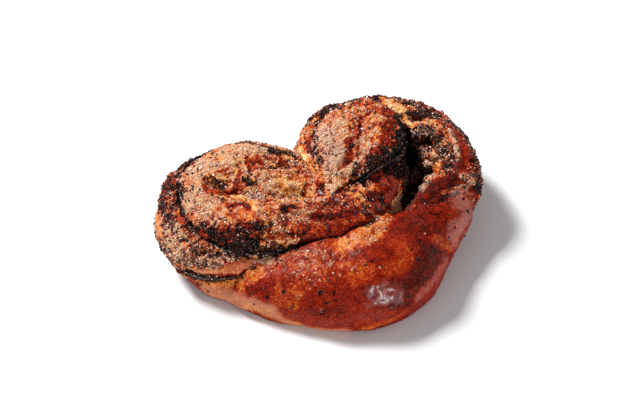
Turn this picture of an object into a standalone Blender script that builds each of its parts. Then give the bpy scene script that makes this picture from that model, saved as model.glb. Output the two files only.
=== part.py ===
"""A heart-shaped poppy seed bun, baked from one rolled and slit strip of sweet dough.

The roll was folded, slit along the fold and opened out flat, so each lobe of the heart shows an
outer loop of dough round an inner fold, with poppy seed filling in the seams between them. The
smooth outer skin of the roll wraps the tip of the heart. The bun stands on Z = 0 with the heart's
axis along Y, its tip at -Y and its notch at +Y. Every size and place below is in millimetres.
"""

import math
import random
from typing import NamedTuple

import bmesh
import bpy
from mathutils import Vector
from mathutils.bvhtree import BVHTree

MM = 0.001  # one millimetre in the scene's metres


class Station(NamedTuple):
    """A place on a strand's centre line, and the strand's radius there."""

    x: float
    y: float
    z: float
    radius: float


class Pad(NamedTuple):
    """A rounded mass of dough that fills in between strands: its centre and its half sizes."""

    x: float
    y: float
    z: float
    half_x: float
    half_y: float
    half_z: float


class Seam(NamedTuple):
    """A seam or a gap between folds, drawn as the places it passes through seen from above.

    Its foot leans to the left of its path. It follows the dough's lowest line, which may lie a
    little beside the route, unless the places have heights of their own. It stays above the floor
    height, and the cutter that opens it stands some way above its line.
    """

    route: list
    half_width: float
    depth: float
    lean: float = 0
    search: float = 1.5
    floor: float = 3.5
    opening: float = 6


# The dough, each strand from end to end.
OUTER_SKIN = [
    Station(-53, 5, 5, 7.5), Station(-50.5, -6.5, 5, 7.5), Station(-39.5, -16.2, 5, 8.8),
    Station(-26.5, -24.8, 5.5, 13.7), Station(-9, -29.5, 6, 19), Station(9, -33.5, 7, 21),
    Station(25, -29.5, 8.5, 18.4), Station(37, -21, 9.5, 14.4), Station(49.5, -9.5, 10, 12.2),
    Station(55, 2, 7, 10), Station(57, 12, 6, 9),
]
LEFT_LOOP = [
    Station(-21, -18, 14, 6), Station(-31, -16, 14, 8), Station(-48.5, -8.8, 12.8, 9.6),
    Station(-56, 2, 13.6, 9.6), Station(-54.5, 18, 14, 8.2), Station(-47.5, 31, 14.5, 8.2),
    Station(-34, 36, 14, 7.5), Station(-18, 34, 14, 7), Station(-6, 29, 14, 6.5),
    Station(-1, 16, 15, 6),
]
RIGHT_LOOP = [
    Station(36, -13, 16, 8.5), Station(46, -9, 17.5, 9.5), Station(55, -6, 17, 10.2),
    Station(57.5, 4, 20, 10.6), Station(58.5, 17, 20, 10.2), Station(51, 30.5, 20.5, 9.5),
    Station(40, 38.5, 21.5, 8.4), Station(27, 42, 21, 7), Station(15, 41, 20, 6.5),
    Station(7, 33, 19, 5.5), Station(3, 22, 18, 5), Station(2, 10, 17, 4.5),
]
LEFT_FOLD = [
    Station(34, 0.5, 19, 8), Station(27, -3, 19.5, 10), Station(14, -8, 20, 10.5),
    Station(-4, -10, 19.5, 11), Station(-22, -5.4, 18.5, 12.4), Station(-36, -0.6, 17.6, 12.2),
    Station(-41, 9.5, 18, 11.5), Station(-36, 20.5, 20, 13.2), Station(-24, 23.5, 20.8, 14.2),
    Station(-9, 17.5, 19, 12.4), Station(2, 6, 17.5, 11),
]
RIGHT_FOLD = [
    Station(20, 4, 22, 11), Station(28.5, 12, 25.5, 12), Station(31.5, 22, 26.5, 12.5),
    Station(26, 29, 26.5, 12), Station(18, 24, 26, 12), Station(12, 13, 25, 11.5),
    Station(7, 1, 21, 11),
]
UNDERSIDE = [
    Station(-52, 5, 8, 8.5), Station(-52.5, 18, 8.5, 8.5), Station(-46.5, 30, 8.5, 8.8),
    Station(-34, 34.5, 8, 8), Station(-18, 32.5, 8, 8), Station(-6, 27, 8, 7.5), Station(0, 17, 8, 7),
    Station(5, 26, 8, 7), Station(10, 34, 8.5, 7.5), Station(18, 39, 9, 8.5), Station(28, 40, 9.5, 9),
    Station(40, 36.5, 9.5, 9.5), Station(50, 28.5, 9.5, 10), Station(56, 16, 9.5, 9.8),
    Station(55.5, 5, 8.5, 9.5),
]
STRANDS = [OUTER_SKIN, LEFT_LOOP, RIGHT_LOOP, LEFT_FOLD, RIGHT_FOLD, UNDERSIDE]
PADS = [
    Pad(-22, 12, 14, 25, 20, 19), Pad(23, 17, 18, 17, 18, 19.5), Pad(6, -14, 10, 30, 16, 17),
]
SLAB_FOOT, SLAB_TOP = 2.0, 12.0  # the heart is solid dough between these heights

TUBE_STEPS = 6  # facets along a strand between two stations
TUBE_SIDES = 6  # Blender's bevel resolution, for 28 facets round a strand
BALL_SEGMENTS, BALL_RINGS = 32, 20
VOXEL = 1.0
SOFTENING = 4
SWELL_WIDTH, SWELL_RISE = 15.0, 1.2  # the uneven swellings of risen dough
DOUGH_TRIANGLES = 4700

# The filling in the seams, which runs down into the dough between the loops and the folds.
FILLINGS = {
    "poppy_filling_left": Seam(
        [(20, -16.5), (9, -21.5), (-1, -23.2), (-12, -19.8), (-23, -17.2), (-34, -15.5), (-43, -11.5),
         (-50, -4.5), (-53.5, 4), (-53, 15.5), (-50, 25), (-41, 35), (-28, 37), (-14, 33)],
        half_width=1.3, depth=9, lean=-4),
    "poppy_filling_right": Seam(
        [(9, -4.5), (19, -0.5), (28, 2.5), (34.5, 4.5), (38.5, 8.5), (40.3, 16), (40, 24), (37, 31),
         (30, 37.5), (20, 39), (11, 34), (7, 25)],
        half_width=1.1, depth=8, lean=3, search=0.5),
    "poppy_filling_tip": Seam(
        [(-33, -22.2, 18), (-39.2, -21.6, 15.2), (-45.7, -19.9, 13.2), (-51.3, -17.4, 12.6),
         (-57, -13.1, 12), (-60.5, -8.8, 11.6)],
        half_width=0.8, depth=4.5, lean=-3, opening=2),
}
# Where the folds stand apart with nothing between them.
GAPS = [
    Seam([(42, 33), (45, 24), (46, 14), (44, 4), (39, -5), (31, -11), (23, -15.5)], half_width=2.8,
         depth=12, search=2.5, floor=11, opening=20),
    Seam([(-43, 17), (-39.5, 12), (-33.5, 7.5), (-26, 4.5)], half_width=0.8, depth=2, search=0),
    Seam([(0.5, 26), (-0.4, 17), (0.2, 12.4), (1, 8.2), (1.5, 3)], half_width=0.8, depth=2.5, search=1),
]
SEAM_STEP = 4.0
SEAM_TRIES = 15  # places tried across a seam to find its lowest line
FILLING_RISE, FILLING_CROWN = 0.5, 1.1  # the heights of a filling's edges and of its rounded top
FILLING_GAP = 0.35
CUTTER_FLARE = 0.8
MIDDLE_LEAN = 0.3  # the share of its lean that a seam has at half its depth
FOOT_SHARE = 0.5  # a seam's width at its foot, and a filling's at its crown, as a share of its width
END_TAPER = 0.18  # the share of a seam's length over which it narrows
END_WIDTH = 0.02  # keeps its very ends from closing to a point

# Lumps of filling on the cut face of the right loop, and the largest of the scattered seeds.
LUMPS = [Pad(48, 26, 25.5, 4.5, 4, 3), Pad(49.5, 15.5, 25.7, 4.5, 5, 3), Pad(48.5, 4, 25.2, 3.6, 4.5, 3)]
LUMP_SEGMENTS, LUMP_RINGS = 10, 7
SEED_RADIUS = 0.62
SEED_SINK = 0.35  # the share of its radius that a seed's middle is pressed in
SEED_COUNT = 105
SEED_SPACING = 5.2
SEED_SEGMENTS, SEED_RINGS = 5, 4
SEED_CLEARANCE = 2.6  # from the fillings
LOWEST_SEED = 6.0
STEEPEST_SEED = -0.2  # the least upward part of the normal where a seed stays on
SKIN_SEED_SHARE = 0.3  # the glossy skin keeps fewer seeds than the rest
TRIES_PER_SEED = 60
RANDOM_SEED = 7

# (red, green, blue), roughness
CRUST = ((0.36, 0.12, 0.03), 0.45)
FILLING = ((0.02, 0.018, 0.022), 0.6)


def clear_scene():
    for obj in list(bpy.data.objects):
        bpy.data.objects.remove(obj, do_unlink=True)


def new_collection(name):
    collection = bpy.data.collections.new(name)
    bpy.context.scene.collection.children.link(collection)
    return collection


def material(name, colour, roughness):
    finish = bpy.data.materials.new(name)
    finish.use_nodes = True
    shader = finish.node_tree.nodes["Principled BSDF"]
    shader.inputs["Base Color"].default_value = (*colour, 1)
    shader.inputs["Roughness"].default_value = roughness
    return finish


def mesh_object(name, shape, collection):
    """An object made from a bmesh in millimetres, which it frees."""
    bmesh.ops.recalc_face_normals(shape, faces=shape.faces)
    bmesh.ops.scale(shape, verts=shape.verts, vec=(MM, MM, MM))
    mesh = bpy.data.meshes.new(name)
    shape.to_mesh(mesh)
    shape.free()
    obj = bpy.data.objects.new(name, mesh)
    collection.objects.link(obj)
    return obj


def evaluated_mesh(obj):
    bpy.context.view_layer.update()
    return bpy.data.meshes.new_from_object(obj.evaluated_get(bpy.context.evaluated_depsgraph_get()))


def apply_modifiers(obj):
    obj.data = evaluated_mesh(obj)
    obj.modifiers.clear()


def curve_as_mesh(name, curve, collection):
    """The solid of a curve, with its caps welded to its sides."""
    guide = bpy.data.objects.new(name, curve)
    collection.objects.link(guide)
    mesh = evaluated_mesh(guide)
    bpy.data.objects.remove(guide)
    shape = bmesh.new()
    shape.from_mesh(mesh)
    bmesh.ops.remove_doubles(shape, verts=shape.verts, dist=0.01)
    return mesh_object(name, shape, collection)


def strand(name, stations, collection):
    """A tube of dough through the stations, as thick at each as it says."""
    curve = bpy.data.curves.new(name, "CURVE")
    curve.dimensions = "3D"
    curve.resolution_u = TUBE_STEPS
    curve.bevel_depth = 1
    curve.bevel_resolution = TUBE_SIDES
    curve.use_fill_caps = True
    line = curve.splines.new("BEZIER")
    line.bezier_points.add(len(stations) - 1)
    for point, station in zip(line.bezier_points, stations):
        point.co = station[:3]
        point.radius = station.radius
        point.handle_left_type = point.handle_right_type = "AUTO"
    return curve_as_mesh(name, curve, collection)


def rounded_mass(name, pad, collection):
    shape = bmesh.new()
    bmesh.ops.create_uvsphere(shape, u_segments=BALL_SEGMENTS, v_segments=BALL_RINGS, radius=1)
    bmesh.ops.scale(shape, verts=shape.verts, vec=pad[3:])
    bmesh.ops.translate(shape, verts=shape.verts, vec=pad[:3])
    return mesh_object(name, shape, collection)


def heart_slab(collection):
    """The solid dough under the strands: a flat heart through the middle of the outer ones."""
    outline = OUTER_SKIN[1:-1] + RIGHT_LOOP[3:] + LEFT_LOOP[:4:-1]
    curve = bpy.data.curves.new("heart_slab", "CURVE")
    curve.dimensions = "2D"
    curve.fill_mode = "BOTH"
    curve.extrude = (SLAB_TOP - SLAB_FOOT) / 2
    line = curve.splines.new("POLY")
    line.points.add(len(outline) - 1)
    for point, station in zip(line.points, outline):
        point.co = (station.x, station.y, 0, 1)
    line.use_cyclic_u = True
    slab = curve_as_mesh("heart_slab", curve, collection)
    slab.location.z = (SLAB_TOP + SLAB_FOOT) / 2 * MM
    return slab


def join(name, pieces, collection):
    """One object that holds the pieces' faces, which are removed."""
    bpy.context.view_layer.update()
    whole = bmesh.new()
    for piece in pieces:
        piece.data.transform(piece.matrix_world)
        whole.from_mesh(piece.data)
        bpy.data.objects.remove(piece)
    bmesh.ops.scale(whole, verts=whole.verts, vec=(1 / MM, 1 / MM, 1 / MM))
    return mesh_object(name, whole, collection)


def risen_dough(collection):
    """The strands and pads fused into one body of dough, softened and made uneven."""
    pieces = [heart_slab(collection)]
    for number, stations in enumerate(STRANDS):
        pieces.append(strand(f"strand_{number}", stations, collection))
        for end in (stations[0], stations[-1]):
            pieces.append(rounded_mass("strand_end", (*end, end.radius, end.radius), collection))
    pieces += [rounded_mass("pad", pad, collection) for pad in PADS]
    dough = join("dough", pieces, collection)
    fuse = dough.modifiers.new("fuse", "REMESH")
    fuse.mode = "VOXEL"
    fuse.voxel_size = VOXEL * MM
    soften = dough.modifiers.new("soften", "SMOOTH")
    soften.iterations = SOFTENING
    swelling = bpy.data.textures.new("swelling", "CLOUDS")
    swelling.noise_scale = SWELL_WIDTH * MM
    swell = dough.modifiers.new("swell", "DISPLACE")
    swell.texture = swelling
    swell.texture_coords = "GLOBAL"
    swell.strength = 2 * SWELL_RISE * MM
    apply_modifiers(dough)
    thin = dough.modifiers.new("thin", "DECIMATE")
    thin.ratio = DOUGH_TRIANGLES / (2 * len(dough.data.polygons))
    apply_modifiers(dough)
    return dough


def boolean(obj, name, operation, cutter=None, collection=None):
    """Joins or cuts with another object or a collection, and applies it. The MANIFOLD solver keeps
    the fused dough closed, where EXACT leaves open edges in it."""
    modifier = obj.modifiers.new(name, "BOOLEAN")
    modifier.operation = operation
    modifier.solver = "MANIFOLD"
    if collection:
        modifier.operand_type = "COLLECTION"
        modifier.collection = collection
    else:
        modifier.object = cutter
    apply_modifiers(obj)


def cut_flat_foot(dough, collection):
    """Takes away all that is below Z = 0, where the bun lay on its tray."""
    side, thickness = 400, 60
    shape = bmesh.new()
    bmesh.ops.create_cube(shape, size=1)
    bmesh.ops.scale(shape, verts=shape.verts, vec=(side, side, thickness))
    bmesh.ops.translate(shape, verts=shape.verts, vec=(0, 0, -thickness / 2))
    tray = mesh_object("tray", shape, collection)
    boolean(dough, "tray", "DIFFERENCE", tray)
    bpy.data.objects.remove(tray)


def smooth_route(places, step):
    """Points about a step apart on a smooth curve through the places."""
    points = [Vector(place).to_3d() for place in places]
    ends = [points[0] * 2 - points[1]] + points + [points[-1] * 2 - points[-2]]
    route = []
    for before, start, end, after in zip(ends, ends[1:], ends[2:], ends[3:]):
        count = max(1, round((end - start).length / step))
        for number in range(count):
            t = number / count
            route.append(0.5 * (2 * start + (end - before) * t
                                + (2 * before - 5 * start + 4 * end - after) * t ** 2
                                + (3 * start - before - 3 * end + after) * t ** 3))
    return route + [points[-1]]


def side_of(route, number):
    """The level direction to the left of the route at a point."""
    ahead = route[min(number + 1, len(route) - 1)] - route[max(number - 1, 0)]
    return Vector((-ahead.y, ahead.x, 0)).normalized()


def seam_line(dough, seam):
    """The lowest line of the dough beside a seam's route, where its two sides meet."""
    route = smooth_route(seam.route, SEAM_STEP)
    if len(seam.route[0]) == 3:
        return route
    tree = BVHTree.FromObject(dough, bpy.context.evaluated_depsgraph_get())

    def top(place):
        hit = tree.ray_cast(Vector((place.x, place.y, 100)) * MM, Vector((0, 0, -1)))[0]
        return hit.z / MM if hit else 0.0

    tries = [seam.search * (2 * n / (SEAM_TRIES - 1) - 1) for n in range(SEAM_TRIES)]
    offsets = []
    for number, place in enumerate(route):
        side = side_of(route, number)
        offsets.append(min(tries, key=lambda offset: top(place + side * offset)))
    line = []
    for number, place in enumerate(route):
        near = offsets[max(number - 1, 0):number + 2]
        point = place + side_of(route, number) * (sum(near) / len(near))
        line.append(Vector((point.x, point.y, top(point))))
    return line


def blade(name, line, seam, is_cutter, collection):
    """A curved ribbon that stands in a seam, narrower at its foot and at its ends: a filling, or
    the cutter that opens its slot a little wider. It is lofted from one section at each point of
    the line, since its width, depth and lean all change."""
    shape = bmesh.new()
    grow = FILLING_GAP if is_cutter else 0
    rings = []
    for number, point in enumerate(line):
        share = number / (len(line) - 1)
        taper = math.sqrt(min(1, (min(share, 1 - share) + END_WIDTH) / END_TAPER))
        half_width, lean = seam.half_width * taper, seam.lean * taper
        width, foot = half_width + grow, FOOT_SHARE * half_width + grow
        depth = min(seam.depth * taper, max(point.z - seam.floor, 1)) + grow
        crown, crown_width = FILLING_CROWN, foot
        if is_cutter:
            crown, crown_width = seam.opening, width + CUTTER_FLARE
        section = [
            (width, FILLING_RISE), (crown_width, crown), (-crown_width, crown), (-width, FILLING_RISE),
            (MIDDLE_LEAN * lean - width, -depth / 2), (lean - foot, -depth),
            (lean + foot, -depth), (MIDDLE_LEAN * lean + width, -depth / 2),
        ]
        side = side_of(line, number)
        ahead = Vector((side.y, -side.x, 0)) * grow
        ends = {0: -ahead, len(line) - 1: ahead}
        middle = point + ends.get(number, Vector())
        rings.append([shape.verts.new(middle + side * across + Vector((0, 0, up))) for across, up in section])
    for ring, following in zip(rings, rings[1:]):
        for number in range(len(ring)):
            after = (number + 1) % len(ring)
            shape.faces.new((ring[number], ring[after], following[after], following[number]))
    shape.faces.new(rings[0])
    shape.faces.new(reversed(rings[-1]))
    return mesh_object(name, shape, collection)


def cut(dough, line, seam, tools):
    cutter = blade("cutter", line, seam, True, tools)
    boolean(dough, "cutter", "DIFFERENCE", cutter)
    bpy.data.objects.remove(cutter)


def open_seams(dough, bun, tools):
    """Cuts the gaps and the fillings' slots, and lays the fillings. The seams are all found before
    the first is cut, because a cut would hide the dough's lowest line beside it."""
    gap_lines = [seam_line(dough, gap) for gap in GAPS]
    filling_lines = [seam_line(dough, seam) for seam in FILLINGS.values()]
    for line, seam in zip(gap_lines + filling_lines, [*GAPS, *FILLINGS.values()]):
        cut(dough, line, seam, tools)
    named_lines = zip(FILLINGS.items(), filling_lines)
    return [blade(name, line, seam, False, bun) for (name, seam), line in named_lines]


def nearest_strand(point):
    """The number of the strand whose surface is nearest to a point in millimetres."""
    def gap(stations):
        return min((Vector(s[:3]) - point).length - s.radius for s in stations)
    return min(range(len(STRANDS)), key=lambda number: gap(STRANDS[number]))


def seed_places(dough, fillings):
    """Where the larger seeds lie: spread evenly over the crust by drawing places at random and
    keeping those that are apart from each other and clear of the fillings."""
    draw = random.Random(RANDOM_SEED)
    graph = bpy.context.evaluated_depsgraph_get()
    trees = [BVHTree.FromObject(filling, graph) for filling in fillings]
    dough.data.calc_loop_triangles()
    triangles = [t for t in dough.data.loop_triangles if t.normal.z > STEEPEST_SEED]
    chosen = draw.choices(triangles, [t.area for t in triangles], k=TRIES_PER_SEED * SEED_COUNT)
    places = []
    for triangle in chosen:
        a, b, c = (dough.data.vertices[v].co for v in triangle.vertices)
        u, v = sorted((draw.random(), draw.random()))
        point = (a * u + b * (v - u) + c * (1 - v)) / MM
        crowded = any((point - other).length < SEED_SPACING for other, _ in places)
        near_filling = any(tree.find_nearest(point * MM)[3] < SEED_CLEARANCE * MM for tree in trees)
        bare = nearest_strand(point) == 0 and draw.random() > SKIN_SEED_SHARE
        if point.z > LOWEST_SEED and not (crowded or near_filling or bare):
            places.append((point, triangle.normal.copy()))
        if len(places) == SEED_COUNT:
            break
    return places


def add_toppings(dough, fillings):
    """Fuses the lumps of filling and the larger seeds to the crust that they lie on."""
    toppings = new_collection("toppings")
    for lump in LUMPS:
        shape = bmesh.new()
        bmesh.ops.create_uvsphere(shape, u_segments=LUMP_SEGMENTS, v_segments=LUMP_RINGS, radius=1)
        bmesh.ops.scale(shape, verts=shape.verts, vec=lump[3:])
        bmesh.ops.translate(shape, verts=shape.verts, vec=lump[:3])
        mesh_object("lump", shape, toppings)
    for point, normal in seed_places(dough, fillings):
        shape = bmesh.new()
        bmesh.ops.create_uvsphere(shape, u_segments=SEED_SEGMENTS, v_segments=SEED_RINGS, radius=SEED_RADIUS)
        bmesh.ops.translate(shape, verts=shape.verts, vec=point + normal * SEED_RADIUS * SEED_SINK)
        mesh_object("seed", shape, toppings)
    boolean(dough, "toppings", "UNION", collection=toppings)
    for topping in list(toppings.objects):
        bpy.data.objects.remove(topping)
    bpy.data.collections.remove(toppings)


def drop_scraps(dough):
    """Keeps the body with the most corners, without the loose scraps that cutting leaves."""
    shape = bmesh.new()
    shape.from_mesh(dough.data)
    unseen = set(shape.verts)
    bodies = []
    while unseen:
        body, edge_of_search = set(), {unseen.pop()}
        while edge_of_search:
            body |= edge_of_search
            edge_of_search = {e.other_vert(v) for v in edge_of_search for e in v.link_edges} - body
        bodies.append(body)
        unseen -= body
    largest = max(bodies, key=len)
    bmesh.ops.delete(shape, geom=[v for v in shape.verts if v not in largest])
    shape.to_mesh(dough.data)
    shape.free()


def centre_on_origin(pieces):
    """Puts the middle of the whole bun's box over the origin."""
    corners = [vertex.co for piece in pieces for vertex in piece.data.vertices]
    shift = [-(min(c[axis] for c in corners) + max(c[axis] for c in corners)) / 2 for axis in (0, 1)]
    for piece in pieces:
        piece.location = (*shift, 0)


def main():
    clear_scene()
    bun, tools = new_collection("poppy_seed_bun"), new_collection("tools")
    dough = risen_dough(bun)
    cut_flat_foot(dough, tools)
    fillings = open_seams(dough, bun, tools)
    add_toppings(dough, fillings)
    drop_scraps(dough)
    dough.data.materials.append(material("crust", *CRUST))
    dough.data.shade_smooth()
    dough.data.set_sharp_from_angle(angle=math.radians(40))
    dark = material("poppy_filling", *FILLING)
    for filling in fillings:
        filling.data.materials.append(dark)
    centre_on_origin([dough, *fillings])
    bpy.data.collections.remove(tools)


main()
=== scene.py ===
"""Dresses the poppy seed bun: its crust, fillings, strewn seeds and sugar, and the studio round it.

The bun is a roll of sweet dough with poppy seed filling, folded, slit along the fold and opened
into a heart. Each lobe shows an outer loop round an inner fold, and the smooth outer skin of the
roll wraps the tip. Places are in millimetres, in the baker's frame, whose origin lies on the tray
under the place where the roll was folded. A mark on the crust may also be given by points as the
studio's camera sees them, and the script then drops them onto the bun.
"""

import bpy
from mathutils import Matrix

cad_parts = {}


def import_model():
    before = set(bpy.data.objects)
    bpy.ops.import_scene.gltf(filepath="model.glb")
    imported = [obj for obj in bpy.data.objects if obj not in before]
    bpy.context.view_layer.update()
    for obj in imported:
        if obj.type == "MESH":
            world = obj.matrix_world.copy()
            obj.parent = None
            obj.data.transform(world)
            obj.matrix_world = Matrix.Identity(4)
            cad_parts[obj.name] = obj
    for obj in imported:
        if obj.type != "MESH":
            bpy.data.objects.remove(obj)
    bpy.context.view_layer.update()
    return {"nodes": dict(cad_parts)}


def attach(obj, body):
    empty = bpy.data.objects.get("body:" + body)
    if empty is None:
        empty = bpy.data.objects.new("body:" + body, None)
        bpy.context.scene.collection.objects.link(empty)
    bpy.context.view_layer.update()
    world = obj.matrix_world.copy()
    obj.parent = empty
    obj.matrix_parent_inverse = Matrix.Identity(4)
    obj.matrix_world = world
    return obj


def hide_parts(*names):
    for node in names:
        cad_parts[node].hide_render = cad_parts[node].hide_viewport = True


frame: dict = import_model()

import logging
import math
from dataclasses import dataclass, field, replace
from enum import Enum

import bmesh
import bpy
import numpy as np
from mathutils import Matrix, Vector, noise
from mathutils.bvhtree import BVHTree

LOG = logging.getLogger("poppy_seed_bun")
MM = 0.001
BAKER_TO_PART = Vector((-1.47, 2.46, 0.0))  # from the baker's frame to the part's, in millimetres
Place = tuple[float, float, float]
Seen = tuple[float, float]  # right and down from the corner of the camera's picture, PICTURE in size
PICTURE = (630, 420)
Colour = tuple[float, float, float]
BALLS_PER_STEP = 4  # balls that stand for a strand from one station to the next
STROKE_EDGE, STROKE_FRAY = 0.95, 0.6  # where a stroke fades, and how far it frays, in half widths
SEAM_REACH, SEAM_SINK = 1.3, 0.5  # how far and how much a pinch sinks the filling under it
SEAM_CLOSES = 0.85  # the most of its way to the seam's line that a pinched corner goes
FOOT_HEIGHT, FLAT = 0.03, 0.999  # what belongs to the flat underside: millimetres, and -z of a normal
SHADE = "shade"  # the attribute that gives each strewn piece a tone of its own, from 0 to 1
OUTLINE_TRIES, OUTLINE_STEP = 12, 0.006  # steps towards the middle, for a point just past the outline


class Paint(Enum):
    """What is painted over the crust, each as an attribute from 0 to 1."""

    BAKE = "bake"  # pale yellow crumb to nearly burnt
    WASH = "wash"  # the gloss of the egg wash
    SUGAR = "sugar"  # baked-on sugar and crumbs
    PASTE = "paste"  # poppy seed paste smeared over the dough; in the gap beside the knob and under the left fold's front it is also painted shade
    SEEDS = "seeds"  # loose poppy seeds
    RELIEF = "relief"  # how knobbly the crust is
    MILKY = "milky"  # a pale film of sugar glaze, which is also painted as sheen where the gloss would reflect the white surroundings
    GRAINS = "grains"  # loose grains of sugar, where there is much of it
    HEIGHT = "height"  # from the pits of the crust to the tops of its knobs


@dataclass(frozen=True)
class Strand:
    """One fold of the roll: its centre line with radii, and how its crust looks by itself."""

    name: str
    stations: tuple[tuple[float, float, float, float], ...]
    look: dict[Paint, float]

    def gap(self, points: np.ndarray) -> np.ndarray:
        """How far points lie from the strand's surface.

        Args:
            points: places in the baker's frame, one to a row.

        Returns:
            The distance of each in millimetres, negative inside the strand.
        """
        nearest = np.full(len(points), np.inf)
        for start, end in zip(self.stations, self.stations[1:]):
            for share in np.linspace(0, 1, BALLS_PER_STEP):
                x, y, z, radius = np.array(start) * (1 - share) + np.array(end) * share
                away = np.linalg.norm(points - (x, y, z), axis=1) - radius
                nearest = np.minimum(nearest, away)
        return nearest


@dataclass(frozen=True)
class Stroke:
    """A brush stroke over the crust, along a line of places."""

    places: tuple[Place | Seen, ...]
    half_width: float
    look: dict[Paint, float]
    ragged: float = 0.8
    fade: float = 0.6

    def cover(self, points: np.ndarray, wander: np.ndarray) -> np.ndarray:
        """How much of the stroke reaches each point.

        Args:
            points: places in the baker's frame, one to a row.
            wander: an uneven number from about -1 to 1 for each point, which frays the edges.

        Returns:
            0 outside the stroke to 1 along its middle, for each point.
        """
        fray = wander * self.ragged * self.half_width * STROKE_FRAY
        inside = STROKE_EDGE * self.half_width - distance_to_line(points, self.places) - fray
        share = np.clip(0.5 + inside / (self.fade * self.half_width), 0, 1)
        return share * share * (3 - 2 * share)


@dataclass(frozen=True)
class Dots:
    """Small round dabs over the crust, all alike."""

    places: tuple[Place | Seen, ...]
    radius: float
    look: dict[Paint, float]
    ragged: float = 0.8

    def cover(self, points: np.ndarray, wander: np.ndarray) -> np.ndarray:
        """How much of a dab reaches each point.

        Args:
            points: places in the baker's frame, one to a row.
            wander: an uneven number from about -1 to 1 for each point, which frays the edges.

        Returns:
            0 outside the dabs to 1 in their middles, for each point.
        """
        cover = np.zeros(len(points))
        for place in self.places:
            dab = Stroke((place,), self.radius, self.look, self.ragged)
            cover = np.maximum(cover, dab.cover(points, wander))
        return cover


@dataclass(frozen=True)
class Fold:
    """A crease pressed into the crust, or a ridge raised on it, along a line of places."""

    places: tuple[Place | Seen, ...]
    half_width: float
    rise: float

    def relief(self, points: np.ndarray) -> np.ndarray:
        """The height in millimetres that the fold adds at each of the points."""
        away = distance_to_line(points, self.places) / self.half_width
        return self.rise * np.exp(-away * away)


@dataclass(frozen=True)
class Pinch:
    """A seam whose two sides lean together over its filling, along a line of places."""

    places: tuple[Place | Seen, ...]
    reach: float
    pull: float

    def closes(self, points: np.ndarray) -> np.ndarray:
        """How deep in millimetres what lies under the seam sinks at each of the points."""
        away = distance_to_line(points, self.places) / (SEAM_REACH * self.reach)
        return SEAM_SINK * self.pull * np.exp(-away * away)

    def shift(self, points: np.ndarray) -> np.ndarray:
        """How far each point moves.

        Args:
            points: places in the baker's frame, one to a row.

        Returns:
            A level move for each, towards the line and never past it.
        """
        towards = way_to_line(points, self.places)
        away = np.linalg.norm(towards, axis=1)
        towards[:, 2] = 0
        level = np.linalg.norm(towards, axis=1) + 1e-6
        move = np.minimum(self.pull * np.exp(-(away / self.reach) ** 2), SEAM_CLOSES * level)
        return towards * (move / level)[:, None]


Mark = Stroke | Dots | Fold | Pinch


def way_to_line(points: np.ndarray, places: tuple[Place, ...]) -> np.ndarray:
    """The shortest way from points to a line through places.

    Args:
        points: one to a row.
        places: the line's corners, or its only place.

    Returns:
        A row for each point, from it to the nearest place on the line.
    """
    corners = np.array(places, float)
    if len(corners) == 1:
        return corners[0] - points
    nearest, way = np.full(len(points), np.inf), np.zeros_like(points)
    for start, end in zip(corners, corners[1:]):
        along = end - start
        share = np.clip((points - start) @ along / (along @ along), 0, 1)
        offset = start + share[:, None] * along - points
        away = np.linalg.norm(offset, axis=1)
        closer = away < nearest
        nearest[closer], way[closer] = away[closer], offset[closer]
    return way


def distance_to_line(points: np.ndarray, places: tuple[Place, ...]) -> np.ndarray:
    """How far points, one to a row, lie from a line through places."""
    return np.linalg.norm(way_to_line(points, places), axis=1)


def look(bake: float | None = None, wash: float | None = None, sugar: float | None = None,
         paste: float | None = None, seeds: float | None = None, relief: float | None = None,
         milky: float | None = None) -> dict[Paint, float]:
    """The paints that are given, each with its strength."""
    given = zip(Paint, (bake, wash, sugar, paste, seeds, relief, milky))
    return {paint: value for paint, value in given if value is not None}


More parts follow.
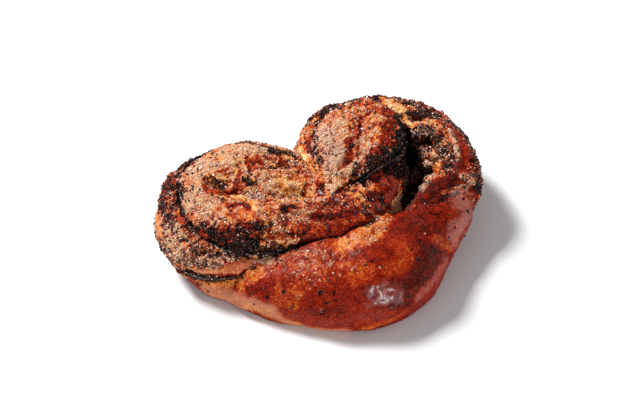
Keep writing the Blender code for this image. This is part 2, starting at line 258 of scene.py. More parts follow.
STRANDS: tuple[Strand, ...] = (
    Strand("outer_skin", (
        (-53, 5, 5, 7.5), (-50.5, -6.5, 5, 7.5), (-39.5, -16.2, 5, 8.8), (-26.5, -24.8, 5.5, 13.7),
        (-9, -29.5, 6, 19), (9, -33.5, 7, 21), (25, -29.5, 8.5, 18.4), (37, -21, 9.5, 14.4),
        (49.5, -9.5, 10, 12.2), (55, 2, 7, 10), (57, 12, 6, 9),
    ), look(bake=0.72, wash=0.8, sugar=0.14, paste=0, seeds=0.004, relief=0.25, milky=0)),
    Strand("left_loop", (
        (-21, -18, 14, 6), (-31, -16, 14, 8), (-48.5, -8.8, 12.8, 9.6), (-56, 2, 13.6, 9.6),
        (-54.5, 18, 14, 8.2), (-47.5, 31, 14.5, 8.2), (-34, 36, 14, 7.5), (-18, 34, 14, 7),
        (-6, 29, 14, 6.5), (-1, 16, 15, 6),
    ), look(bake=0.5, wash=0.35, sugar=0.7, paste=0.12, seeds=0.45, relief=1, milky=0.05)),
    Strand("right_loop", (
        (36, -13, 16, 8.5), (46, -9, 17.5, 9.5), (55, -6, 17, 10.2), (57.5, 4, 20, 10.6),
        (58.5, 17, 20, 10.2), (51, 30.5, 20.5, 9.5), (40, 38.5, 21.5, 8.4), (27, 42, 21, 7),
        (15, 41, 20, 6.5), (7, 33, 19, 5.5), (3, 22, 18, 5), (2, 10, 17, 4.5),
    ), look(bake=0.55, wash=0.45, sugar=0.5, paste=0.15, seeds=0.45, relief=1, milky=0.05)),
    Strand("left_fold", (
        (34, 0.5, 19, 8), (27, -3, 19.5, 10), (14, -8, 20, 10.5), (-4, -10, 19.5, 11),
        (-22, -5.4, 18.5, 12.4), (-36, -0.6, 17.6, 12.2), (-41, 9.5, 18, 11.5),
        (-36, 20.5, 20, 13.2), (-24, 23.5, 20.8, 14.2), (-9, 17.5, 19, 12.4), (2, 6, 17.5, 11),
    ), look(bake=0.38, wash=0.45, sugar=0.75, paste=0, seeds=0.09, relief=1, milky=0)),
    Strand("right_fold", (
        (20, 4, 22, 11), (28.5, 12, 25.5, 12), (31.5, 22, 26.5, 12.5), (26, 29, 26.5, 12),
        (18, 24, 26, 12), (12, 13, 25, 11.5), (7, 1, 21, 11),
    ), look(bake=0.4, wash=0.5, sugar=0.65, paste=0, seeds=0.06, relief=1, milky=0.05)),
    Strand("underside", (
        (-52, 5, 8, 8.5), (-52.5, 18, 8.5, 8.5), (-46.5, 30, 8.5, 8.8), (-34, 34.5, 8, 8),
        (-18, 32.5, 8, 8), (-6, 27, 8, 7.5), (0, 17, 8, 7), (5, 26, 8, 7), (10, 34, 8.5, 7.5),
        (18, 39, 9, 8.5), (28, 40, 9.5, 9), (40, 36.5, 9.5, 9.5), (50, 28.5, 9.5, 10),
        (56, 16, 9.5, 9.8), (55.5, 5, 8.5, 9.5),
    ), look(bake=0.6, wash=0.6, sugar=0.1, paste=0, seeds=0.02, relief=0.3, milky=0.05)),
)

STROKES: tuple[Stroke | Dots, ...] = (
    # The glossy skin round the tip.
    Stroke(((405, 225), (428, 215), (430, 245), (425, 262), (410, 275)), 8, look(bake=0.81), 1),
    Stroke(((396, 252), (404, 262), (408, 272)), 5, look(bake=0.84), 1),
    Stroke(((404, 292), (412, 286), (422, 278), (434, 264)),
        6, look(bake=1, milky=0.12), 1, fade=1.3),
    Stroke(((395, 300), (412, 285), (432, 262), (436, 272), (418, 292)), 5, look(bake=0.88), 1),
    # Pale sugar over the crest, under a light pale film that is painted sheen of the gloss.
    Stroke(((268, 260), (285, 268), (305, 262), (322, 272)),
        5, look(bake=0.55, sugar=0.5, wash=0.5, milky=0.16), 1, fade=1.3),
    Stroke(((254, 268), (264, 264), (272, 262)),
        3.2, look(bake=0.4, sugar=1, milky=0.1, seeds=0.06, relief=0.7), 1.1, fade=1.3),
    Stroke(((282, 262), (294, 258), (308, 255), (322, 252)),
        3.4, look(bake=0.62, sugar=0.62, milky=0.16, seeds=0.03, relief=0.7), 1.1, fade=1.3),
    Stroke(((254, 276), (268, 276), (284, 272)),
        4, look(bake=0.68, sugar=0.4, milky=0.1), 1.1, fade=1.3),
    Stroke(((262, 284), (280, 292), (290, 300), (300, 288)), 4, look(bake=0.54, sugar=0.3), 1),
    Stroke(((345, 262), (356, 264), (366, 272), (352, 278)), 3.5, look(bake=0.56, sugar=0.2), 1.1),
    Stroke(((400, 246), (408, 252), (403, 262), (392, 268)),
        4, look(bake=0.58, sugar=0.08, milky=0.02), 1, fade=1.3),
    Stroke(((436, 238), (444, 242), (448, 246)), 3, look(bake=0.52, sugar=0.12), 1),
    Stroke(((236, 278), (262, 285)), 5, look(bake=0.76, sugar=0.05), 1),
    Stroke(((310, 300), (325, 308), (345, 305), (360, 310)), 3.4, look(bake=0.72, sugar=0.05), 1),
    # Along the foot, paler and less browned crust, under a pale film painted as the sheen of the white
    # floor in the gloss.
    Stroke(((210, 290), (230, 296), (250, 303), (272, 312)),
        3.6, look(bake=0.38, sugar=0, wash=0.5, relief=0.08, milky=0.58), 0.5, fade=1.3),
    Stroke(((205, 287), (225, 297), (250, 308), (280, 320), (310, 326), (345, 328)),
        2.4, look(bake=0.38, sugar=0, wash=0.4, relief=0.06, milky=0.5), 0.5, fade=1.3),
    Stroke(((290, 316), (310, 319), (330, 322), (352, 318), (372, 316), (392, 314)),
        2.4, look(bake=0.7, sugar=0, relief=0.1, milky=0.2), fade=1.3),
    Stroke(((365, 326), (380, 323), (395, 319), (405, 312)),
        1.6, look(bake=0.5, sugar=0, relief=0.1), 0.5),
    # Down the right wall, a pinkish-grey film painted as the sheen of the white surroundings in the gloss.
    Stroke(((458, 196), (462, 206), (466, 214), (460, 224), (452, 238)),
        4.5, look(bake=0.56, sugar=0.04, wash=0.8, relief=0.15, milky=0.6), 0.9, fade=1.3),
    Stroke(((446, 262), (438, 274), (430, 286), (420, 296)),
        2.6, look(bake=0.62, sugar=0.02, milky=0.36, relief=0.15), 0.9, fade=1.3),
    Stroke(((256, 259), (266, 257), (274, 255)),
        2.2, look(bake=0.36, sugar=0.9, relief=0.6, milky=0.1), 1.1, fade=1.3),
    Stroke(((326, 240), (336, 238)), 4, look(bake=0.6, sugar=0.3), 1.2),
    Stroke(((342, 248), (350, 245), (362, 237), (374, 228), (386, 219)),
        3, look(bake=0.3, sugar=0.6, relief=0.6, milky=0.02), 1.1, fade=1.3),
    Stroke(((378, 220), (388, 212), (398, 206), (408, 198)),
        2.6, look(bake=0.36, sugar=0.7, relief=0.6, milky=0.02), 1, fade=1.3),
    Stroke(((398, 199), (408, 192), (420, 185), (430, 176)),
        1.6, look(bake=0.28, sugar=1, relief=0.6)),
    Stroke(((385, 225), (378, 236), (365, 243)),
        2.2, look(bake=0.36, sugar=0.6, milky=0.02), 0.9, fade=1.3),
    Stroke(((420, 198), (432, 192), (445, 186), (452, 181)),
        2.6, look(bake=0.9, wash=0.6, seeds=0.03, sugar=0.08, relief=0.3)),
    Stroke(((430, 200), (445, 196), (455, 191)), 1.6, look(bake=0.95, sugar=0.05), 0.7),
    Stroke(((443, 192), (455, 189), (468, 186)), 0.9, look(bake=0.35, sugar=0.5), 0.7),
    Stroke(((206, 284), (216, 284.5), (228, 283.5), (240, 279), (252, 273)),
        2, look(bake=0.32, sugar=0.1, wash=0.5, relief=0.3), 0.6),
    Stroke(((240, 285), (252, 279), (262, 272)), 2.2, look(bake=0.42, sugar=0.4), 0.9),
    # The left loop.
    Stroke(((170, 226), (178, 238), (188, 250), (200, 260)),
        2.4, look(bake=0.62, sugar=0.9, seeds=0.5, paste=0.25), 1.2),
    Stroke(((160, 222), (165, 236), (173, 250), (184, 258)),
        3, look(bake=0.4, sugar=1, seeds=0.35), 1.2),
    Stroke(((157.5, 212), (158, 224), (160, 234)),
        1.4, look(bake=0.3, sugar=0.4, seeds=0.05, wash=0.8, relief=0.3), 0.7),
    Stroke(((165, 186), (164, 198), (165, 208), (168, 218)),
        3.4, look(paste=0.5, seeds=1, sugar=0.6, bake=0.6), 1.2),
    Stroke(((185, 166), (177, 172), (170, 179), (166, 186)),
        3, look(paste=0.52, seeds=1, sugar=0.5, bake=0.6), 1.1),
    Stroke(((188, 244), (200, 250), (212, 254)),
        3.4, look(paste=0.4, seeds=0.9, sugar=0.75, bake=0.5), 1.2),
    Stroke(((208, 252), (218, 255), (228, 255)),
        3, look(paste=0.55, seeds=1, sugar=0.6, bake=0.5, milky=0.2), 1.2, fade=1.3),
    Stroke(((222, 262), (234, 258), (246, 255), (258, 250), (268, 247)),
        2, look(paste=0.25, seeds=0.6, sugar=1, bake=0.5), 1),
    Stroke(((190, 262), (202, 266), (216, 267), (228, 266)),
        2.6, look(paste=0.3, seeds=0.8, sugar=0.9, bake=0.6), 1.2),
    Stroke(((194, 271), (206, 272.5), (220, 271.5), (234, 269.5), (246, 266), (252, 263)),
        1.6, look(bake=0.34, wash=0.8, sugar=0.3, seeds=0.02, paste=0, relief=0.3, milky=0.4), 0.7,
            fade=1.3),
    Stroke(((226, 269), (238, 266), (250, 264)),
        1.2, look(bake=0.42, wash=0.8, sugar=0.1, seeds=0.02, paste=0, relief=0.3), 0.7),
    Stroke(((160.5, 243), (163, 252), (168, 261), (175, 269), (184, 275), (194, 279.5)),
        1.1, look(paste=0.7, seeds=1, sugar=0.1)),
    Stroke(((175, 176), (174, 186), (174.5, 196), (176, 206)),
        1.5, look(bake=0.72, wash=0.9, sugar=0.1, seeds=0.15, paste=0.1, relief=0.4)),
    Stroke(((177, 212), (179, 218), (183, 222)),
        1.3, look(bake=0.5, wash=0.9, sugar=0.1, seeds=0.03, paste=0, relief=0.4)),
    Stroke(((177, 180), (176, 186)),
        1.3, look(bake=0.5, wash=0.8, sugar=0.3, seeds=0.1, paste=0, relief=0.4)),
    Stroke(((189, 167), (186, 178), (184.5, 190), (184, 200), (184, 212), (187, 219)),
        2.1, look(paste=0.74, seeds=1, sugar=0.4, milky=0.4), 1.1, fade=1.3),
    Stroke(((184, 168), (181, 180), (179.5, 192), (179.5, 204)),
        0.7, look(paste=0, seeds=0, sugar=0.1, bake=0.95), 0.4),
    Stroke(((-44, 34, 23), (-38, 33.5, 27.5), (-31, 33.8, 29.5), (-24, 31, 32), (-17, 27.5, 32.4),
        (-12, 23.5, 31.8)), 1.3, look(paste=0.6, seeds=1, sugar=0.2), 0.9),
    Stroke(((272, 150), (284, 152.5), (293, 156), (296, 158)),
        1.8, look(paste=0.7, seeds=1, sugar=0.2), 1.2),
    Stroke(((-60.5, 14, 18), (-58, 24.5, 18.5), (-51, 35.5, 18.5), (-36, 42, 18.5), (-18, 39.5, 18),
        (-7, 34.5, 17)), 2.4, look(paste=0.6, seeds=1, sugar=0.2), 1),
    # The left fold.
    Stroke(((192, 200), (204, 192), (206, 204), (196, 210)), 6, look(bake=0.3, sugar=1), 1),
    Stroke(((200, 168), (216, 158), (236, 150), (256, 150)), 6, look(bake=0.2, sugar=1), 1),
    Stroke(((188, 175), (196, 170), (202, 178)), 3, look(bake=0.36, sugar=1, seeds=0.3), 1.2),
    Stroke(((252, 162), (260, 158), (262, 166), (254, 168)),
        1.8, look(bake=0.62, sugar=0.4, wash=0.6), 1.1),
    Stroke(((240, 168), (238, 178), (234, 188)), 1.2, look(bake=0.66, sugar=0.4, wash=0.6), 1.1),
    Stroke(((218, 172), (226, 170)), 0.9, look(bake=0.66, sugar=0.4, wash=0.6), 1.1),
    Stroke(((208, 158), (214, 157)), 0.8, look(bake=0.7, sugar=0.3), 1.1),
    Stroke(((246, 157), (250, 170)), 0.8, look(bake=0.8, sugar=0.2), 1.1),
    Stroke(((229, 206), (236, 204)), 1.5, look(bake=0.85, sugar=0.3), 1.1),
    Stroke(((242, 204), (250, 208)), 1.2, look(bake=0.66, sugar=0.3), 1.1),
    Stroke(((228, 215), (236, 216), (240, 222)), 1.4, look(bake=0.55, sugar=0.4, wash=0.8), 1.1),
    Stroke(((242, 211), (248, 214), (243, 217)),
        2, look(bake=0.42, sugar=0.15, wash=0.9, relief=0.4), 1),
    Stroke(((266, 209), (272, 211)), 1.2, look(bake=0.45, sugar=0.2, wash=0.9), 1),
    Stroke(((268, 200), (272, 200)), 0.9, look(bake=0.72, sugar=0.2), 1),
    Stroke(((205, 178), (205.5, 187), (209, 191.5), (218, 192.5), (230, 193.5), (240, 194)),
        1.2, look(bake=0.68, wash=0.6, sugar=0.2, paste=0), 0.9),
    Stroke(((222, 196), (234, 196.5), (244, 199), (252, 203), (255, 208)),
        1.2, look(bake=0.14, sugar=0.4, wash=0.5)),
    Stroke(((251, 195.5), (256, 196.5), (260, 198)),
        1.4, look(bake=0.3, sugar=1, milky=0.7), fade=1.3),
    Stroke(((210, 177.5), (214, 181), (220, 183), (224, 184)),
        1.7, look(paste=0.66, seeds=1, sugar=0.4), 1.2),
    Stroke(((245, 180.5), (249, 183.5), (253, 182)), 1.7, look(paste=0.85, seeds=1, sugar=0.2), 1),
    Stroke(((252, 182), (256, 181)), 0.8, look(paste=0.8, seeds=1, sugar=0.15), 1),
    Stroke(((188, 216), (198, 218), (208, 222), (218, 226)),
        2.6, look(bake=0.45, paste=0.16, seeds=0.3, sugar=0.8), 1.2),
    # Under the front of the left fold, where its wall overhangs the seam: poppy paste and seeds, painted
    # darker as shade under the overhang, fading upwards.
    Stroke(((192, 229), (198, 233), (204, 234)),
        4, look(paste=0.7, seeds=0.9, sugar=0.4, bake=0.8, wash=0.2), 1.1),
    Stroke(((204, 236), (216, 241.5), (228, 243.5), (240, 243), (252, 241)),
        2.8, look(paste=0.98, seeds=1, sugar=0.1, wash=0.2, bake=0.9), 0.9),
    Stroke(((252, 246), (262, 245.5), (272, 244.5)),
        1.9, look(paste=0.95, seeds=1, sugar=0.1, wash=0.2), 0.9),
    Stroke(((272, 244.5), (284, 243), (294, 242), (306, 240.5)),
        1.3, look(paste=0.85, seeds=0.9, sugar=0.1, wash=0.2), 1),
    Stroke(((208, 233), (230, 234), (246, 232), (256, 228)),
        3, look(bake=0.7, paste=0.58, seeds=0.8, sugar=0.4), 1.4),
    Stroke(((258, 224), (264, 229), (262, 236)), 1.8, look(paste=0.72, seeds=0.8, sugar=0.25), 1.2),
    Stroke(((272, 226), (284, 232), (296, 232)),
        1.6, look(paste=0.6, seeds=0.6, sugar=0.25, bake=0.6), 1.2),
    Stroke(((272, 234), (286, 226), (282, 218)),
        3, look(bake=0.5, paste=0.25, seeds=0.12, sugar=0.7), 1.2),
    Stroke(((285, 208), (292, 206), (298, 212)),
        2, look(paste=0.62, seeds=0.6, sugar=0.35, bake=0.75), 1.2),
    Stroke(((300, 214), (312, 220), (322, 214)),
        2.6, look(bake=0.5, sugar=0.7, paste=0.05, seeds=0.1), 1.2),
    Stroke(((262, 185), (276, 178), (290, 172)), 3, look(bake=0.36, sugar=0.85), 1.1),
    Stroke(((284, 180), (294, 184), (298, 194)),
        4, look(bake=0, sugar=0.42, wash=0.4, milky=0), 1.1, fade=1.3),
    Stroke(((270, 168), (280, 164), (290, 166)), 1.2, look(paste=0.55, seeds=0.6, sugar=0.4), 1.3),
    Stroke(((266, 158), (276, 160), (286, 163)), 2, look(bake=0.6, sugar=0.6, seeds=0.15), 1.2),
    # The arm to the right.
    Stroke(((302, 232), (320, 232), (338, 230), (350, 224)),
        4, look(bake=0.64, sugar=0.3, wash=0.8, relief=0.8), 1),
    Stroke(((318, 214), (334, 216), (350, 214)), 3, look(bake=0.72, sugar=0.3, wash=0.7), 1),
    Stroke(((300, 238.5), (320, 239), (336, 237.5), (348, 233), (360, 225)),
        1.8, look(bake=0.9, sugar=0.1), 1),
    Stroke(((330, 206), (342, 203), (352, 200)), 2.4, look(bake=0.5, sugar=0.5, wash=0.7), 1),
    Stroke(((356, 196), (368, 193), (376, 188)), 2, look(bake=0.3, sugar=0.5, wash=0.7), 1),
    Stroke(((354, 210), (358, 220), (352, 226)), 2.2, look(bake=0.72, sugar=0.2, wash=0.9), 1),
    Stroke(((362, 214), (372, 208), (382, 200)),
        2, look(bake=0.6, paste=0.35, seeds=0.4, sugar=0.4), 1.2),
    Stroke(((372, 204), (380, 204)), 1.2, look(bake=0.5, wash=1, sugar=0.1, seeds=0), 1),
    Stroke(((366, 168), (358, 176), (350, 184)),
        3.2, look(paste=0.62, seeds=0.95, sugar=0.5, bake=0.6, milky=0.2), 1.4, fade=1.3),
    Stroke(((350, 188), (343, 194), (334, 198)),
        2.8, look(paste=0.48, seeds=0.8, sugar=0.5, bake=0.5), 1.3),
    Stroke(((372, 158), (371, 168), (368, 176), (362, 182)),
        2.6, look(paste=0.85, seeds=1, sugar=0.2, bake=0.6), 1.1),
    Stroke(((356, 168), (352, 178), (344, 184)),
        2, look(paste=0.6, seeds=0.8, sugar=0.35, bake=0.6), 1.2),
    Stroke(((354, 178), (360, 177)), 1.3, look(bake=0.2, sugar=0.7, paste=0), 0.9),
    Stroke(((378, 180), (378, 190), (374, 198)),
        2, look(bake=0.55, sugar=0.3, paste=0.35, seeds=0.4), 1.2),
    Stroke(((382, 176), (390, 184), (388, 194), (380, 200)),
        5, look(bake=0.72, sugar=0.25, seeds=0.25, paste=0.1), 1.2),
    Stroke(((350, 192), (358, 196)), 3, look(paste=0.34, seeds=0.55, sugar=0.4), 1.3),
    Stroke(((312, 207), (324, 205), (336, 203)),
        3, look(seeds=0.18, sugar=0.5, bake=0.6, paste=0.02), 1.3),
    Stroke(((378, 165), (384, 170), (392, 176), (396, 182), (393, 190), (388, 197)),
        1.7, look(bake=0.72, wash=1, sugar=0.05, seeds=0.02, paste=0, relief=0.2)),
    Stroke(((382, 196), (380, 200), (385, 204)), 1, look(paste=0.9, seeds=1, sugar=0)),
    Stroke(((316, 212), (334, 208), (352, 206), (368, 198)),
        6, look(seeds=0.3, milky=0.12), 1.3, fade=1.3),
    # The crease from the notch.
    Stroke(((299, 145), (303, 155), (310, 163), (317, 171), (320, 176)),
        1.6, look(bake=0.08, sugar=0.3, paste=0, seeds=0.03)),
    Stroke(((325, 172), (328, 178), (318, 180)), 2, look(bake=0.34, sugar=0.5, wash=0.8), 1),
    Stroke(((316, 184), (322, 190), (318, 196)), 2, look(bake=0.78, wash=0.9, sugar=0.12), 1),
    Stroke(((304, 178), (310, 186), (308, 196)), 2.4, look(bake=0.36, sugar=0.6), 1.2),
    Stroke(((332, 172), (338, 176), (330, 186), (318, 198)), 2, look(bake=0.26, sugar=0.9), 1),
    # The right fold.
    Stroke(((322, 132), (330, 140), (334, 150), (330, 160)),
        5, look(bake=0.34, sugar=1, seeds=0.28, milky=0.5), 1, fade=1.3),
    Stroke(((336, 120), (340, 134), (340, 148), (338, 162)),
        2.4, look(bake=0.22, sugar=1, seeds=0.04), 1),
    Stroke(((326, 166), (334, 170)), 1.8, look(bake=0.4, sugar=0.9), 1),
    Stroke(((318, 122), (316, 132), (314, 142), (316, 152), (320, 160)),
        2.2, look(paste=0.64, seeds=1, sugar=0.5, milky=0.45), 1.2, fade=1.3),
    Stroke(((308, 142), (310, 150), (314, 154)),
        1.3, look(bake=0.85, wash=0.8, sugar=0.2, seeds=0.25), 1),
    Stroke(((316, 118), (310, 128), (308, 138)),
        1.5, look(bake=0.4, sugar=0.5, seeds=0.1, wash=0.6), 1),
    Stroke(((305, 122), (300, 132), (300, 144)),
        2.4, look(bake=0.3, sugar=0.6, seeds=0.35, wash=0.5), 1.1),
    Stroke(((300, 130), (303, 124), (309, 122)),
        1.8, look(paste=0.25, seeds=0.7, sugar=0.6, bake=0.35), 1.2),
    Stroke(((298, 140), (300, 148)), 1.2, look(bake=0.18, sugar=0.6, seeds=0.05), 1),
    Stroke(((304, 124), (312, 117), (322, 111.5), (334, 105.5), (344, 102), (356, 100)),
        2.3, look(paste=0.74, seeds=1, sugar=0.4, milky=0.2), 1.1, fade=1.3),
    Stroke(((356, 99.5), (368, 98), (380, 97.5)),
        2.1, look(paste=0.74, seeds=1, sugar=0.4, milky=0.2), 1.1, fade=1.3),
    Stroke(((328, 114), (338, 108), (344, 106)),
        1.6, look(paste=0.4, seeds=0.8, sugar=0.5, milky=0.3), 1.2, fade=1.3),
    Stroke(((348, 142), (350, 150), (350, 160), (347, 166)),
        2, look(bake=0.66, wash=0.8, sugar=0.25, seeds=0.08), 1.1),
    Stroke(((351, 144), (352, 152)), 1, look(paste=0.6, seeds=0.8), 1),
    Stroke(((361, 118), (360, 126), (359, 136), (358.5, 148), (358, 156)),
        1, look(bake=0.84, wash=0.8, sugar=0.1), 0.7),
    Stroke(((361, 121), (367, 117), (371, 110)), 0.9, look(bake=0.8, wash=0.8, sugar=0.1), 0.7),
    Stroke(((352, 118), (350, 126), (354, 132)), 1.6, look(bake=0.45, wash=0.8, sugar=0.4), 1.1),
    Stroke(((346, 112), (344, 122), (343, 132)), 1.2, look(bake=0.2, sugar=0.9), 1),
    Stroke(((356, 106), (368, 104), (376, 110)),
        3, look(bake=0.44, wash=0.6, sugar=0.5, seeds=0.05), 1.1),
    Stroke(((370, 120), (376, 130), (372, 140)),
        4, look(bake=0.36, wash=0.6, sugar=0.6, seeds=0.05), 1),
    Stroke(((362, 140), (366, 148), (362, 152)), 2.2, look(bake=0.32, sugar=0.9), 1),
    Stroke(((384, 110), (390, 120), (390, 132), (385, 142)),
        2.6, look(bake=0.6, wash=0.6, sugar=0.35), 1),
    Stroke(((380, 148), (372, 152)), 1.6, look(bake=0.7, wash=0.7, sugar=0.25), 1),
    Stroke(((356, 162), (349, 168), (342, 174)), 1.4, look(bake=0.26, sugar=0.9), 0.9),
    Stroke(((374, 100), (382, 102), (388, 108)),
        1.6, look(paste=0.5, seeds=0.8, sugar=0.5, milky=0.2), 1.1, fade=1.3),
    # The knob's right flank and the gap beside it, painted black: poppy paste and seeds, darkened further
    # as painted shade where the gap lies in shadow.
    Stroke(((394, 112), (398, 122), (402, 132), (400, 142)),
        2.2, look(paste=1, seeds=1, sugar=0.06, wash=0.15), 1),
    Stroke(((400, 144), (397, 154), (391, 161), (388, 159)),
        5.2, look(paste=1, seeds=1, sugar=0.03, wash=0.15, bake=1), 1),
    Stroke(((396, 166), (392, 163), (384, 163)), 3, look(paste=1, seeds=0.9, sugar=0, wash=0.1)),
    Stroke(((404, 160), (402, 170), (400, 178)),
        1.6, look(bake=0.85, paste=0.3, seeds=0.2, sugar=0.05), 1),
    Stroke(((43, 24, 25), (43.5, 12, 24), (40, 3, 24), (35, -1, 25)),
        5, look(paste=1, seeds=0.9, sugar=0, wash=0.1), 0.6),
    Stroke(((44, 28, 16), (46, 14, 14), (44, 4, 14), (39, -4, 16), (34, -9, 15)),
        6, look(paste=1, seeds=0.4, sugar=0, wash=0.1), 0.6),
    # The right loop.
    Stroke(((404, 100), (418, 105), (432, 111), (446, 119)),
        3, look(paste=0.45, seeds=0.9, sugar=0.5, milky=0.2), 1.1, fade=1.3),
    Stroke(((394, 98), (410, 101), (426, 106), (440, 113), (456, 124), (464, 134)),
        2.9, look(paste=0.64, seeds=1, sugar=0.5, milky=0.35), 1.1, fade=1.3),
    Stroke(((466, 134), (472, 146), (476, 158), (478, 170), (478, 180)),
        2.8, look(paste=0.66, seeds=1, sugar=0.5, milky=0.35), 1.1, fade=1.3),
    Stroke(((470, 156), (473, 166), (470, 176)),
        2.6, look(paste=0.5, seeds=0.9, sugar=0.5, bake=0.6), 1.1),
    Stroke(((472, 186), (480, 187), (482, 190)), 1.2, look(paste=0.85, seeds=1, sugar=0.1), 0.9),
    Stroke(((388, 102), (396, 106), (402, 111), (404, 117)),
        3, look(bake=0, sugar=0.6, paste=0, seeds=0.03, wash=0.4, milky=0.1), 0.9, fade=1.3),
    Stroke(((382, 97.5), (392, 98.5)), 1, look(bake=0.2, sugar=0.3, paste=0, seeds=0.05), 0.9),
    Stroke(((408, 113), (416, 113), (422, 116)),
        2.4, look(paste=0.9, seeds=1, sugar=0.25, milky=0.1), 1, fade=1.3),
    Stroke(((416, 124), (422, 120), (430, 119), (434, 120)),
        1.5, look(bake=0.14, sugar=0.7, paste=0, seeds=0.03), 0.9),
    Stroke(((434, 121), (442, 127), (446, 132)),
        1.2, look(bake=0.3, sugar=0.5, wash=0.7, paste=0), 1),
    Stroke(((418, 130), (427, 129), (434, 132)),
        3, look(paste=0.4, seeds=0.85, sugar=0.8, milky=0.6), 1.3, fade=1.3),
    Stroke(((428, 136), (438, 137), (446, 136)),
        1.8, look(paste=0.7, seeds=0.85, sugar=0.5, milky=0.25), 1.2, fade=1.3),
    Stroke(((440, 120), (448, 124), (446, 118)),
        1.8, look(bake=0.66, sugar=0.4, seeds=0.2, paste=0.1), 1.1),
    Stroke(((446, 144), (452, 150), (452, 160), (448, 168)),
        2.6, look(paste=0.66, seeds=1, sugar=0.5, milky=0.3), 1.2, fade=1.3),
    Stroke(((438, 150), (444, 156), (440, 146)),
        2.2, look(paste=0.6, seeds=0.85, sugar=0.7, milky=0.35), 1.2, fade=1.3),
    Stroke(((430, 148), (434, 156), (438, 162)),
        1.5, look(bake=0.14, sugar=0.9, paste=0, seeds=0.05), 0.9),
    Stroke(((437, 164), (439, 168), (436, 172)),
        1.3, look(bake=0.34, sugar=0.3, wash=0.8, paste=0, seeds=0.02), 1),
    Stroke(((418, 126), (420, 136), (424, 146), (423, 156), (420, 168), (414, 178)),
        4, look(paste=0.46, seeds=1, sugar=0.7, milky=0.45, bake=0.7), 1.3, fade=1.3),
    Stroke(((402, 113), (407, 121), (413, 126), (420, 121), (430, 120)),
        1.5, look(bake=0.04, sugar=0.6, paste=0, seeds=0.03, milky=0.1), 1, fade=1.3),
    Stroke(((412, 141), (420, 143), (428, 141), (436, 146)),
        1.2, look(paste=0.95, seeds=0.6, sugar=0.1, milky=0), 1, fade=1.3),
    Stroke(((414, 158), (422, 160), (430, 158)),
        1.2, look(paste=0.9, seeds=0.6, sugar=0.1, milky=0), 1, fade=1.3),
    Stroke(((424, 163), (430, 165), (424, 167)),
        1.5, look(paste=0.1, seeds=0.35, sugar=1, milky=0.7, bake=0.4), 1, fade=1.3),
    Stroke(((430, 168), (424, 174), (418, 180)), 1.6, look(paste=0.6, seeds=0.8, sugar=0.5), 1.1),
    Stroke(((430, 176), (434, 174), (422, 184)),
        2, look(paste=0.2, seeds=0.4, sugar=0.9, bake=0.5, milky=0.2), 1.1, fade=1.3),
    Stroke(((428, 182), (422, 188), (414, 194)),
        1.5, look(paste=0.4, seeds=0.6, sugar=0.9, milky=0.6), 1, fade=1.3),
    Stroke(((446, 128), (450, 136)),
        1.4, look(bake=0.5, wash=0.9, sugar=0.3, seeds=0.1, paste=0), 0.9),
    Stroke(((450, 130), (454, 138), (456, 150), (458, 160)),
        1.2, look(bake=0.3, sugar=1, seeds=0.25, milky=0.5, paste=0), 0.9, fade=1.3),
    Stroke(((456, 130), (460, 140), (463, 150), (464, 160), (463, 168)),
        2, look(bake=0.7, wash=0.7, sugar=0.04, seeds=0.02, paste=0, relief=0.25), 0.7),
    Stroke(((434, 186), (442, 182), (450, 182), (456, 178)),
        2.4, look(bake=0.95, wash=0.6, sugar=0.02, seeds=0.06, paste=0, relief=0.35, milky=0.01),
            0.9, fade=1.3),
    Stroke(((456, 166), (458, 174)),
        1.4, look(bake=0.78, wash=0.9, sugar=0.1, seeds=0.05, paste=0), 0.9),
    Stroke(((462, 176), (470, 180), (466, 186)),
        1.8, look(paste=0.15, seeds=0.4, sugar=0.9, bake=0.45), 1.1),
    # Poppy seeds baked into the skin.
    Dots(((448, 215), (465, 211.5), (454, 228), (446, 251), (450, 254), (417.6, 259), (412, 249.5),
        (365.6, 265), (381, 266), (372, 261), (436, 214), (430, 213), (283, 292), (320, 293),
        (326, 303), (322, 313), (293, 306), (267, 297), (270, 294), (368, 298), (334, 293),
        (308, 259), (250, 293), (380, 240), (404, 212), (463, 198), (470, 208)),
        0.75, look(paste=0.9, seeds=1, sugar=0.1), 0.5),
    Dots(((322, 312.5), (320, 293), (283, 292), (448, 215), (466, 211.5), (366, 265)),
        0.9, look(paste=0.95, seeds=1, sugar=0), 0.5),
    # Lighter specks of sugar, the glossiest place of the skin, and the sandy dough above it.
    Dots(((352, 269), (319, 291), (321, 310), (365, 264), (340, 275), (301, 295), (380, 267),
        (425, 233)), 0.5, look(bake=0.2, sugar=1, milky=0.8), 0.5),
    Dots(((380, 297), (393, 294)), 5.4, look(wash=1, sugar=0, bake=0.74, relief=0.4, paste=0), 1.1),
    Dots(((368, 304), (402, 288)), 2, look(wash=0.95, relief=0.3), 1.2),
    Stroke(((304, 280), (318, 272), (336, 262), (352, 258)), 5, look(sugar=0.42, relief=0.55), 1.3),
)

